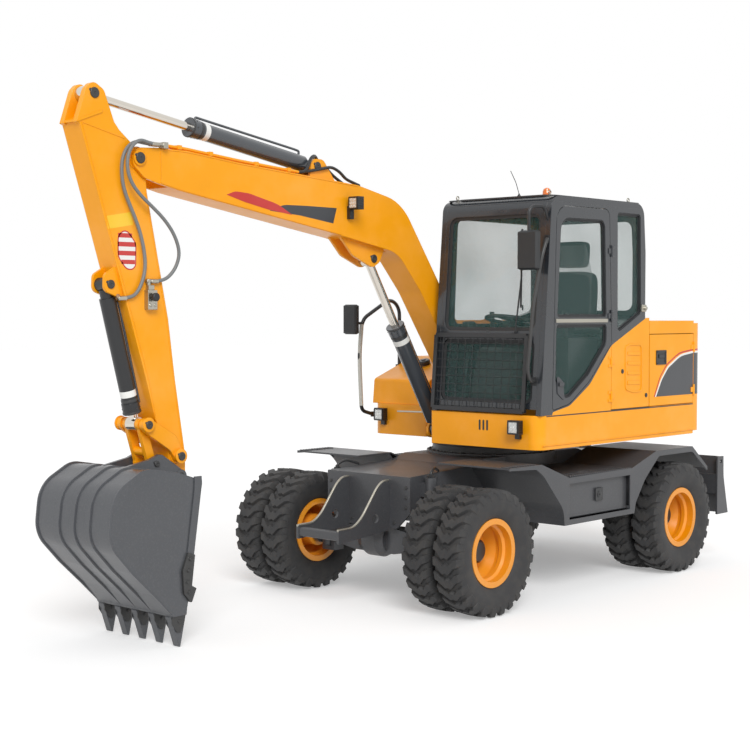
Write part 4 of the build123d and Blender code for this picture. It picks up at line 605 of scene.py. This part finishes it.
# The cylinders: painted tube with a bolted gland of dark steel, and a chromed rod. A pale band is
# stuck round each barrel of the working gear, and a steel pipe runs along it.
barrel_paint = surface("barrel_grey", linear(62, 66, 71), 0.25, coat=0.6)
chrome = surface("chrome_rod", linear(214, 208, 198), 0.10, metal=1.0, depth=0.01)
paint(barrel_paint, "boom_cylinder_barrel arm_cylinder_barrel")
paint(black, "bucket_cylinder_barrel blade_cylinder_barrel")
paint(chrome, "boom_cylinder_rod arm_cylinder_rod bucket_cylinder_rod blade_cylinder_rod")
BARRELS = [  # name, base, eye, radius, tube from, tube to
    ("boom_cylinder", (305, 1150), (1110, 2433), 62, 100, 945),
    ("arm_cylinder", (1690, 3055), (3604, 3352), 56, 90, 1127),
    ("bucket_cylinder", (3478, 2216), (3251, 1354), 50, 85, 822)]
GLAND_BOLTS = 8
for name, base, eye, radius, start, end in BARRELS:
    way = Vector((eye[0] - base[0], 0, eye[1] - base[1])).normalized()
    foot = Vector((base[0], WORK_Y, base[1]))
    rings = Shape()
    rings.turned(foot + way * (end - 16), way, [(0, radius + 4), (2, radius + 9), (12, radius + 9),
                                                (14, radius + 4)], hollow=True)
    rings.turned(foot + way * (end - 96),
                 way, [(0, radius - 1), (2, radius + 3), (18, radius + 3), (20, radius - 1)], hollow=True)
    for k in range(GLAND_BOLTS):
        turn = 2 * math.pi * k / GLAND_BOLTS
        side = way.orthogonal().normalized()
        outward = side * math.cos(turn) + way.cross(side) * math.sin(turn)
        rings.bolt(foot + way * (end - 34) + outward * (radius + 5), outward, 4)
    rings.done(name + "_gland", name + "_barrel", dark_steel)
    label = Shape()
    label.turned(foot + way * (end - 150), way, [(0, radius - 1), (0, radius + 0.7), (40, radius + 0.7),
                                                 (40, radius - 1)], 48, hollow=True)
    label.done(name + "_blank_band", name + "_barrel", label_white)
    ports = Shape()
    up = Vector((0, 0, 1)) if abs(way.z) < 0.9 else Vector((-1, 0, 0))
    up = (up - way * up.dot(way)).normalized()
    line = [foot + way * (start + 40) + up * (radius - 4), foot + way * (start + 40) + up * (radius + 24),
            foot + way * (start + 90) + up * (radius + 26), foot + way * (end - 90) + up * (radius + 20),
            foot + way * (end - 50) + up * (radius + 20), foot + way * (end - 50) + up * (radius - 2)]
    ports.tube(line, 8.5, 30)
    ports.done(name + "_pipe", name + "_barrel", barrel_paint)


# The bucket and its wear parts: welded plate in grey paint, with ribs round its back, a rim along
# the side plates' edge, side cutters held by bolts, and the sockets that carry the teeth.
bucket_grey = surface("bucket_grey", linear(74, 76, 80), 0.34, coat=0.2, speck=0.15, grain=120.0, depth=0.12)
paint(bucket_grey, "bucket")
BUCKET_LEFT = 170.0
BUCKET_RIGHT = -570.0
RIB_RISE = 10
TEETH = 5
TOOTH_INSET = 40
BUCKET_SIDE = [(3154, 212), (3270, 211), (3394, 345, 60), (3560, 500, 160), (3735, 690, 200),
               (3700, 980, 200), (3471, 1105, 160), (3240, 1079)]
back = rounded(BUCKET_SIDE, 7.0)[1:]
ribs = Shape()
for y in (BUCKET_LEFT - 8, -50, -200, -350, BUCKET_RIGHT + 8):
    half = 8 if y in (BUCKET_LEFT - 8, BUCKET_RIGHT + 8) else 24
    rows = []
    for i, spot in enumerate(back):
        ahead = (back[min(i + 1, len(back) - 1)] - back[max(i - 1, 0)]).normalized()
        out = Vector((ahead.y, -ahead.x)) * (0.5 if i in (0, len(back) - 1) else RIB_RISE)
        low = spot - Vector((ahead.y, -ahead.x)) * 1.0
        rows.append([(low.x, y - half, low.y), (spot.x + out.x, y - half + 3, spot.y + out.y),
                     (spot.x + out.x, y + half - 3, spot.y + out.y), (low.x, y + half, low.y)])
    ribs.rings(rows)
ribs.done("bucket_ribs", "bucket", bucket_grey)
for side, y in ((1, BUCKET_LEFT), (-1, BUCKET_RIGHT)):
    cutter = Shape()
    low, high = sorted((y - 1 * side, y + 18 * side))
    cutter.plate([(3098, 560), (3124, 372), (3088, 352), (3128, 262, 10), (3186, 330, 14), (3196, 470, 30),
                  (3150, 580, 10)], low, high)
    for x, z in ((3140, 540), (3152, 470), (3160, 400), (3150, 335)):
        cutter.bolt((x, y + 17 * side, z), (0, side, 0), 12)
    cutter.done(f"bucket_cutter_{'left' if side > 0 else 'right'}", "bucket", dark_steel)
    rim = Shape()
    low, high = sorted((y - 1 * side, y + 9 * side))
    rim.plate([(3031, 1000), (3040, 960), (3128, 380), (3180, 380), (3092, 960), (3090, 1040),
               (3034, 1040)], low, high)
    rim.done(f"bucket_rim_{'left' if side > 0 else 'right'}", "bucket", bucket_grey)
teeth = Shape()
for index in range(TEETH):
    y = BUCKET_RIGHT + TOOTH_INSET + index * (BUCKET_LEFT - BUCKET_RIGHT - 2 * TOOTH_INSET) / (TEETH - 1)
    for side in (1, -1):
        teeth.plate([(3160, 228, 8), (3262, 206, 8), (3262, 150, 8), (3222, 92, 6), (3196, 92, 6),
                     (3162, 160, 10)],
                    *sorted((y + 25 * side, y + 33 * side)))
        teeth.turned((3206, y + 32 * side, 160), (0, side, 0), [(0, 12), (5, 12), (6, 10)], 16)
teeth.done("bucket_tooth_sockets", "bucket", dark_steel)


# Bosses: steel rings welded round the pins of the bucket and the rocker, where the plate has to
# be thicker. They are painted with the plate.
ear = Shape()
for side, y in ((1, -82), (-1, -318)):
    ear.turned((2978, y - side * 1, 1013), (0, side, 0), [(0, 44), (5, 44), (7, 41)], 36)
ear.done("bucket_bosses", "bucket", bucket_grey)
rocker_bosses = Shape()
for side, y in ((1, -58), (-1, -342)):
    for x, z in ((2992, 1143), (3251, 1354)):
        rocker_bosses.turned((x, y - side * 10, z), (0, side, 0), [(0, 46), (10, 46), (11, 40)], 36)
rocker_bosses.done("rocker_bosses", "rocker", yellow)


# The panes: tinted safety glass, a little wavy, that lets the cab's inside show and mirrors the
# sky. They are glued into the frame of the cab and its door.
glass = bpy.data.materials.new("cab_glass")
glass.use_nodes = True
tree = glass.node_tree
shader = tree.nodes["Principled BSDF"]
place = Signal.node(tree, "ShaderNodeTexCoord", out="Object")
wave = Signal.node(tree, "ShaderNodeTexNoise", {}, {"Vector": place, "Scale": 1.6, "Detail": 1.0})
Signal.plug(tree, shader.inputs["Base Color"], wave.between(0.3, 0.7).blend(linear(50, 92, 88),
                                                                          linear(70, 112, 106)))
shader.inputs["Roughness"].default_value = 0.03
Signal.plug(tree, shader.inputs["Alpha"], wave.between(0.3, 0.7, 0.24, 0.16))
shader.inputs["Coat Weight"].default_value = 0.3
Signal.plug(tree, shader.inputs["Normal"],
            Signal.node(tree, "ShaderNodeBump", {}, {"Strength": 0.02, "Height": wave}))
paint(glass, "cab_glass door_glass")


# The cab's left side: pressed steel in grey paint, rubber seals in two steps round each pane, a
# zinc bar across the door, the handle's plate, and the catch that holds the door open.
cab_grey = surface("cab_grey", linear(38, 42, 47), 0.26, coat=0.55, edge=0.008)
paint(cab_grey, "cab_left cab_right cab_front cab_rear cab_door")
CAB_LEFT = 970.0
DOOR_TOP_PANE = [(395, 2010, 30), (352, 2720, 100), (-205, 2725, 60), (-232, 2010, 30)]
DOOR_LOW_PANE = [(405, 1960, 30), (415, 1560, 40), (310, 1430, 60), (235, 1440, 60), (0, 1590, 200),
                 (-232, 1815, 60), (-235, 1960, 30)]
QUARTER = [(-372, 2790, 30), (-690, 2790, 30), (-705, 2040, 40), (-380, 1890, 30)]
for name, rows, body in (("door_top", DOOR_TOP_PANE, "cab_door"), ("door_low", DOOR_LOW_PANE, "cab_door"),
                         ("quarter", QUARTER, "upper")):
    seal = Shape()
    seal.band(rows, 22, CAB_LEFT - 18, CAB_LEFT - 14)
    seal.band(rows, 9, CAB_LEFT - 14, CAB_LEFT - 4)
    seal.done("seal_" + name, body, plastic)
bar = Shape()
bar.box(-245, 410, CAB_LEFT - 3, CAB_LEFT + 6, 1972, 2000)
bar.done("door_bar", "cab_door", zinc)
handle = Shape()
handle.plate([(400, 1600, 14), (392, 1470, 10), (300, 1408, 12), (330, 1560, 20)], CAB_LEFT - 1,
             CAB_LEFT + 5)
handle.box(322, 380, CAB_LEFT + 4, CAB_LEFT + 16, 1520, 1548)
handle.done("door_handle_plate", "cab_door", label_dark)
catch = Shape()
catch.box(-762, -700, CAB_LEFT - 1, CAB_LEFT + 14, 2052, 2104)
catch.turned((-740, CAB_LEFT + 12, 2078), (0, 1, 0), [(0, 16), (14, 16), (18, 12)], 20)
catch.done("door_catch", "upper", zinc)


# The raked front: rubber seals round both panes, the mesh guard in black, the wiper on its arm,
# and the grab rail of bent tube on two plastic feet.
paint(black, "front_guard")
ROOF_Z = 2870.0
SILL_Z = 1318.0
SILL_X = 590.0
ROOF_X = 462.0


def front_x(z, off=0.0):
    return SILL_X + (ROOF_X - SILL_X) / (ROOF_Z - SILL_Z) * (z - SILL_Z) + off


front = Shape()
for y0, y1, z0, z1 in ((55, 885, 1915, 2745), (55, 885, 1400, 1850)):
    rows = rounded([(y0, z0, 60), (y0, z1, 60), (y1, z1, 60), (y1, z0, 60)])
    inner = inset(rows, 24)
    front.rings([[(front_x(o.y, -17), o.x, o.y), (front_x(o.y, -8), o.x, o.y), (front_x(i.y, -12), i.x, i.y),
                  (front_x(i.y, -17), i.x, i.y)] for o, i in zip(rows, inner)], closed=True)
front.done("seal_front", "upper", plastic)
wiper = Shape()
wiper.tube([(front_x(1880, 6), 700, 1880), (front_x(1900, 14), 720, 1900), (front_x(2300, 2), 742, 2300),
            (front_x(2560, 0), 728, 2560)], 6, 30)
wiper.box(front_x(2300, -10), front_x(2300, -2), 742, 752, 2060, 2100)
wiper.tube([(front_x(2080, -6), 744, 2080), (front_x(2640, -6), 720, 2640)], 7, 0)
wiper.turned((front_x(1880, -4), 700, 1880), (1, 0, 0.08), [(0, 22), (16, 22), (20, 17)], 24)
wiper.done("wiper", "upper", plastic)
rail = Shape()
rail.tube([(front_x(2560, -2), 945, 2560), (front_x(2560, 55), 985, 2560), (600, 984, 2450),
           (640, 940, 2100), (655, 905, 1640), (front_x(1560, 55), 905, 1560),
           (front_x(1560, -2), 905, 1560)], 13, 60)
rail.done("front_grab_rail", "upper", dark_steel)
posts = Shape()
posts.box(front_x(2560, -10), front_x(2560, 4), 920, 962, 2530, 2590)
posts.box(front_x(1560, -10), front_x(1560, 4), 880, 930, 1530, 1590)
posts.done("front_grab_feet", "upper", plastic)


# The roof: a pressed panel with a raised middle and a gutter, four zinc lifting eyes, the beacon
# of orange plastic on its base, and the whip aerial.
beacon_orange = surface("beacon_orange", linear(240, 120, 20), 0.12, coat=0.8)
paint(cab_grey, "cab_roof")
roof = Shape()
roof.plate([(400, 60, 60), (400, 890, 60), (-660, 890, 60), (-660, 60, 60)], ROOF_Z - 1, ROOF_Z + 14, "z")
roof.band([(452, -12, 70), (452, 962, 70), (-728, 962, 70), (-728, -12, 70)], 20, ROOF_Z - 1, ROOF_Z + 7,
          "z")
roof.done("roof_panel", "upper", cab_grey)
eyes = Shape()
for x, y in ((380, 890), (-640, 890), (380, 50), (-640, 50)):
    eyes.turned((x, y, ROOF_Z), (0, 0, 1), [(0, 18), (5, 18), (6, 8), (14, 8)], 16)
    eyes.tube([(x + 14 * math.cos(a), y, ROOF_Z + 28 + 14 * math.sin(a)) for a in
               [2 * math.pi * k / 14 for k in range(15)]], 4.5, 0, 8)
eyes.done("roof_eyes", "upper", zinc)
beacon = Shape()
beacon.turned((150, 700, ROOF_Z + 12), (0, 0, 1), [(0, 40), (16, 40), (16, 34)], 32)
beacon.done("beacon_base", "upper", plastic)
beacon = Shape()
beacon.turned((150, 700, ROOF_Z + 28), (0, 0, 1), [(0, 33), (30, 31), (48, 24), (56, 12), (58, 0)], 32)
beacon.done("beacon_dome", "upper", beacon_orange)
aerial = Shape()
aerial.turned((300, 560, ROOF_Z + 12), (0, 0, 1), [(0, 16), (12, 14), (22, 7), (30, 4)], 16)
aerial.tube([(300, 560, ROOF_Z + 38), (318, 545, ROOF_Z + 120), (350, 520, ROOF_Z + 205)], 2.6, 20, 8)
aerial.done("aerial", "upper", plastic)


# The seat: sewn pads of dark cloth on a sprung plastic base with its arm rests. A clear film from
# delivery is still drawn over the back.
cloth = surface("seat_cloth", linear(48, 50, 54), 0.85, grain=900.0, depth=0.5, edge=0.008)
SEAT_PADS = [  # name, x, y, z of the middle, sizes, lean in degrees
    ("seat_cushion", -215, 475, 1700, 500, 490, 116, 0), ("seat_back", -455, 475, 2040, 118, 470, 640, 6),
    ("seat_head", -505, 475, 2490, 92, 280, 200, 6)]
for name, x, y, z, long, wide, high, lean in SEAT_PADS:
    mesh = bmesh.new()
    bmesh.ops.create_cube(mesh, size=1.0)
    bmesh.ops.subdivide_edges(mesh, edges=mesh.edges, cuts=7, use_grid_fill=True)
    for vertex in mesh.verts:
        u, v, w = (vertex.co * 2).x, (vertex.co * 2).y, (vertex.co * 2).z
        crown = 1 + 0.10 * (1 - u * u) * (1 - v * v) * (1 - w * w)
        flat = 0.86 + 0.14 * crown
        pull = 1 - 0.05 * (abs(u) ** 4 * abs(v) ** 4 + abs(v) ** 4 * abs(w) ** 4 + abs(u) ** 4 * abs(w) ** 4)
        sewn = name != "seat_head" and abs(abs(v) - 0.5) < 0.1 and max(abs(u), abs(w)) > 0.98
        groove = 0.9 if sewn else 1.0
        spot = Vector((u * long / 2 * flat * pull * (groove if long < high else 1),
                       v * wide / 2 * flat * pull,
                       w * high / 2 * flat * pull * (groove if high <= long else 1)))
        spot = Matrix.Rotation(math.radians(-lean), 3, "Y") @ spot
        vertex.co = at(x + spot.x, y + spot.y, z + spot.z)
    pad = bpy.data.meshes.new(name)
    mesh.to_mesh(pad)
    mesh.free()
    pad.shade_smooth()
    pad.materials.append(cloth)
    made = bpy.data.objects.new(name, pad)
    bpy.context.scene.collection.objects.link(made)
    soft = made.modifiers.new("soft", "SUBSURF")
    soft.levels = soft.render_levels = 1
    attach(made, "upper")
    if name == "seat_cushion":
        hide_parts("seat")
frame_work = Shape()
frame_work.box(-420, -60, 300, 650, 1330, 1400, 8)
for k in range(5):
    frame_work.box(-400 + k * 3, -80 - k * 3, 320, 630, 1400 + k * 42, 1436 + k * 42, 12)
frame_work.box(-430, -40, 270, 680, 1612, 1644, 8)
frame_work.box(-470, -440, 300, 650, 1640, 1900, 8)
for y in (215, 735):
    frame_work.tube([(-470, y, 1900), (-300, y, 1915), (-130, y, 1912)], 30, 40)
frame_work.done("seat_base", "upper", plastic)
film_wrap = Shape()
film_wrap.rings([[(-392 - 0.1 * (z - 1760) - 8, 475 - w, z), (-392 - 0.1 * (z - 1760) + 14, 475 - w, z),
                  (-392 - 0.1 * (z - 1760) + 14, 475 + w, z), (-392 - 0.1 * (z - 1760) - 8, 475 + w, z)]
                 for z, w in ((1780, 226), (2100, 232), (2330, 220), (2560, 142))])
film_finish = surface("clear_film", linear(220, 226, 226), 0.18, coat=1.0, grain=9.0, depth=0.9)
film_finish.node_tree.nodes["Principled BSDF"].inputs["Alpha"].default_value = 0.25
film_wrap.done("seat_film", "upper", film_finish)


# The dash and pedals: a moulded plastic pod ahead of the seat with a smaller one on a bent tube,
# four steel pedals on the floor, and the levers and steering column in black.
paint(plastic, "seat")
paint(black, "controls")
dash = Shape()
dash.plate([(470, 1330), (500, 1330), (520, 1500, 40), (455, 1760, 40), (380, 1800, 30), (360, 1740, 20),
            (420, 1500)],
           300, 650)
dash.box(320, 420, 120, 190, 1800, 1980, 12)
dash.tube([(440, 160, 1330), (420, 160, 1600), (370, 155, 1810)], 12, 60)
dash.done("dash_pod", "upper", plastic)
pedals = Shape()
for y in (380, 450, 520, 590):
    pedals.box(330, 430, y - 22, y + 22, 1400, 1412, 4)
    pedals.bar((400, y, 1362), (390, y, 1402), 8)
pedals.done("pedals", "upper", dark_steel)


# The lamps: a finned black case behind a bezel, and a clear lens over small mirror cups. Two are
# screwed to the skirt and one to the boom.
lens_clear = surface("lamp_lens", linear(214, 216, 214), 0.12, metal=0.35, coat=0.8, grain=60.0, depth=0.4)
paint(black, "body_lamps boom_lamp")
LAMPS = [  # name, body, x, y, z, width, height
    ("skirt_left", "upper", 684, 800, 1235, 92, 92), ("skirt_right", "upper", 288, -830, 1235, 92, 92),
    ("boom", "boom", 1455, -15, 2810, 84, 84)]
for name, body, x, y, z, wide, high in LAMPS:
    bezel = Shape()
    bezel.band([(y - wide / 2, z - high / 2, 10), (y - wide / 2, z + high / 2, 10),
                (y + wide / 2, z + high / 2, 10), (y + wide / 2, z - high / 2, 10)], 8, x - 1, x + 8, "x")
    for k in range(5):
        bezel.box(x - 48, x - 6, y - wide / 2 - 3, y - wide / 2 + 1, z - 34 + k * 17 - 4,
                  z - 34 + k * 17 + 4, 1)
        bezel.box(x - 48, x - 6, y + wide / 2 - 1, y + wide / 2 + 4, z - 34 + k * 17 - 4,
                  z - 34 + k * 17 + 4, 1)
    bezel.done("lamp_bezel_" + name, body, black)
    lens_face = Shape()
    lens_face.box(x - 1, x + 3, y - wide / 2 + 7, y + wide / 2 - 7, z - high / 2 + 7, z + high / 2 - 7, 1)
    for row in range(3):
        for column in range(3):
            lens_face.turned((x + 2, y - 24 + 24 * column, z - 24 + 24 * row), (1, 0, 0),
                             [(0, 11), (3, 11), (3, 9), (0.5, 3), (3, 2)], 16)
    lens_face.done("lamp_lens_" + name, body, lens_clear)


# The body's sides: panels of yellow plate with vent slots, a ledge and seams, the pressed louvres
# and round locks of the service door, and the black latch of the bay door.
paint(yellow, "upper_frame counterweight right_housing hood hood_lid bay_door side_panel service_door")
slots = Shape()
for k in range(3):
    slots.plate([(436 + k * 34, 1196, 8), (452 + k * 34, 1196, 8), (452 + k * 34, 1272, 8),
                 (436 + k * 34, 1272, 8)],
                607, 609, "x")
slots.done("skirt_slots", "upper", black)
strip = Shape()
strip.plate([(-700, 1256, 6), (-430, 1262, 6), (-430, 1274, 6), (-700, 1268, 6)], 211, 214, "x")
strip.done("skirt_strip", "upper", zinc)
seam = Shape()
seam.box(-1486, 520, 966, 971.5, 1308, 1316, 1)
seam.box(-830, -300, 967, 972, 1316, 1320, 1)
seam.done("skirt_seam", "upper", black)
ledge = Shape()
ledge.box(-1488, 560, 968, 976, 1100, 1108, 2)
ledge.done("skirt_ledge", "upper", yellow)
PRESSING = [(-490, 1462, 40), (-486, 1790, 30), (-560, 1812, 30), (-722, 1806, 40), (-728, 1440, 40),
            (-600, 1436, 40)]
pressing = Shape()
pressing.band(PRESSING, 14, CAB_LEFT - 1, CAB_LEFT + 5)
for k in range(4):
    z = 1500 + k * 74
    pressing.plate([(-520, z, 12), (-700, z - 4, 12), (-700, z + 26, 12), (-520, z + 30, 12)],
                   CAB_LEFT - 1, CAB_LEFT + 4)
pressing.done("service_pressing", "service_door", yellow)
locks = Shape()
for x, z in ((-452, 1603), (-785, 1411)):
    locks.turned((x, CAB_LEFT - 1, z), (0, 1, 0), [(0, 17), (4, 17), (6, 13), (6, 4), (3, 3)], 24)
locks.done("service_locks", "service_door", black)
latch = Shape()
latch.band([(-925, 1640, 8), (-925, 1752, 8), (-1072, 1752, 8), (-1072, 1640, 8)], 16, CAB_LEFT - 1,
           CAB_LEFT + 6)
latch.box(-1060, -940, CAB_LEFT - 1, CAB_LEFT + 2, 1652, 1742, 1)
latch.box(-1040, -960, CAB_LEFT, CAB_LEFT + 9, 1690, 1722, 3)
latch.done("bay_latch", "bay_door", black)


# The fins: a graphite shape with a white and a red edge on the bay door, which goes on round the
# corner of the counterweight. All are printed film, stuck on.
FIN_DOOR = [(-930, 1392), (-1010, 1520, 200), (-1103, 1610, 160), (-1290, 1700, 300), (-1484, 1722),
            (-1484, 1392)]
fin = Shape()
fin.plate(FIN_DOOR, CAB_LEFT - 0.2, CAB_LEFT + 0.9)
fin.done("fin_door", "bay_door", label_dark)
for colour, up, width in ((label_white, 0, 16), (label_red, 20, 12)):
    edge = Shape()
    edge.plate([(-930 + up, 1392), (-1010 + up, 1520 + up, 200), (-1103 + up, 1610 + up, 160),
                (-1290 + up, 1700 + up, 300), (-1484, 1722 + up), (-1484, 1722 + up + width),
                (-1290 + up, 1700 + up + width, 300),
                (-1103 + up + width * 0.6, 1610 + up + width * 0.8, 160),
                (-1010 + up + width, 1520 + up, 200), (-930 + up + width, 1392)], CAB_LEFT, CAB_LEFT + 1.4)
    edge.done("fin_edge_" + colour.name, "bay_door", colour)
tail_line = rounded([(-1492, 970), (-1632, 970, 110), (-1652, 500)], 10)[:-1]
for finish, low, high, lift in ((label_dark, 1392, 1722, 0.9), (label_white, 1722, 1738, 1.2),
                                (label_red, 1742, 1754, 1.2)):
    tail_fin = Shape()
    line = [spot for spot in tail_line if spot.y > 905]
    rows = []
    for i, spot in enumerate(line):
        ahead = (line[min(i + 1, len(line) - 1)] - line[max(i - 1, 0)]).normalized()
        out = Vector((ahead.y, -ahead.x)) * lift
        rows.append([(spot.x, spot.y, low), (spot.x + out.x, spot.y + out.y, low),
                     (spot.x + out.x, spot.y + out.y, high), (spot.x, spot.y, high)])
    tail_fin.rings(rows)
    tail_fin.done("fin_tail_" + finish.name, "upper", finish)


# The right side and the mirrors: a black filler cap on the tank's housing, pale film round the
# handrail, and moulded plastic cases on both mirrors.
film = surface("pale_film", linear(196, 196, 188), 0.22, coat=0.6, grain=40.0, depth=0.5)
paint(black, "mirrors")
housing = Shape()
housing.turned((-120, -700, 1628), (0.29, 0, 1), [(0, 52), (26, 52), (34, 46), (34, 20), (40, 18)], 32)
housing.done("filler_cap", "upper", black)
grip = Shape()
grip.tube([(322, -985, 1300), (346, -985, 1700), (318, -985, 1950)], 17.5, 160)
grip.done("handrail_film", "upper", film)
for hand, sizes, edge in (("left", (612, 668, 812, 988, 2342, 2618), 14),
                          ("right", (404, 456, -1066, -924, 1872, 2108), 12)):
    mirror_case = Shape()
    mirror_case.box(*sizes, edge)
    mirror_case.done(hand + "_mirror_case", "upper", plastic)


# The chassis: welded plate in grey paint, with bolts round the nose plate and the slew ring, grip
# bars on the steps, latches on the tool boxes, pipes, and pale zinc beads along the nose plates' edges,
# a painted highlight on the plates' thickness.
grey = surface("chassis_grey", linear(66, 67, 70), 0.42, coat=0.15, speck=0.12)
paint(dark_steel, "slew_ring")
paint(grey, "chassis_frame nose_bracket side_boxes side_box_door_left side_box_door_right blade blade_arms")
paint(grey, "blade_links front_axle rear_axle knuckle_left knuckle_right tie_rod driveline engine")
SLEW_X = -100
SLEW_BOLTS = 36
SLEW_CIRCLE = 478
bolts = Shape()
for y in (-360, 360):
    for z in (690, 760, 830):
        bolts.bolt((1322, y, z), (1, 0, 0), 10)
for y in (-250, -150, 0, 150, 250):
    bolts.bolt((1322, y, 575), (1, 0, 0), 9)
for k in range(SLEW_BOLTS):
    turn = 2 * math.pi * k / SLEW_BOLTS
    bolts.bolt((SLEW_X + SLEW_CIRCLE * math.cos(turn), SLEW_CIRCLE * math.sin(turn), 985), (0, 0, 1), 9)
bolts.done("chassis_bolts", "chassis", dark_steel)
plates = Shape()
for side in (1, -1):
    for x in range(-500, 300, 26):
        for y in (880, 950):
            plates.box(x, x + 14, *sorted((side * y, side * (y + 44))), 866, 876, 2)
    for x in range(-500, 300, 26):
        plates.box(x, x + 14, *sorted((side * 1000, side * 1019)), 868, 880, 2)
    for x in range(690, 1000, 30):
        plates.box(x, x + 16, *sorted((side * 940, side * 1000)), 984, 992, 2)
plates.done("step_grips", "chassis", grey)
for side, hand in ((1, "left"), (-1, "right")):
    low, high = sorted((side * 993, side * 1001))
    square = Shape()
    square.box(-156, -60, low, high, 662, 758, 2)
    square.turned((-108, side * 1000, 710), (0, side, 0), [(0, 26), (4, 26), (5, 20)], 24)
    square.bolt((-108, side * 1004, 710), (0, side, 0), 7)
    square.done("box_latch_" + hand, "side_box_door_" + hand, black)
    pipe = Shape()
    y = 450 * side
    pipe.tube([(1162, y, 890), (1162, y, 930), (1100, y * 0.95, 960), (1000, y * 0.85, 925)], 10, 40)
    pipe.turned((1162, y, 893), (0, 0, 1), [(0, 30), (14, 30), (16, 18), (30, 16)], 6)
    pipe.done("lock_pipe_" + hand, "chassis", black)
# Painted highlight: pale zinc tubes along the nose plates' edges stand in for the light on their thickness.
edges = Shape()
for plate_y in (-203, 183):
    edges.tube([(1322, plate_y + 10, 872), (1385, plate_y + 10, 868), (1440, plate_y + 10, 830),
                (1600, plate_y + 10, 630), (1680, plate_y + 10, 574), (1836, plate_y + 10, 570)], 9, 70, 10)
edges.done("nose_plate_edge_highlights", "chassis", zinc)
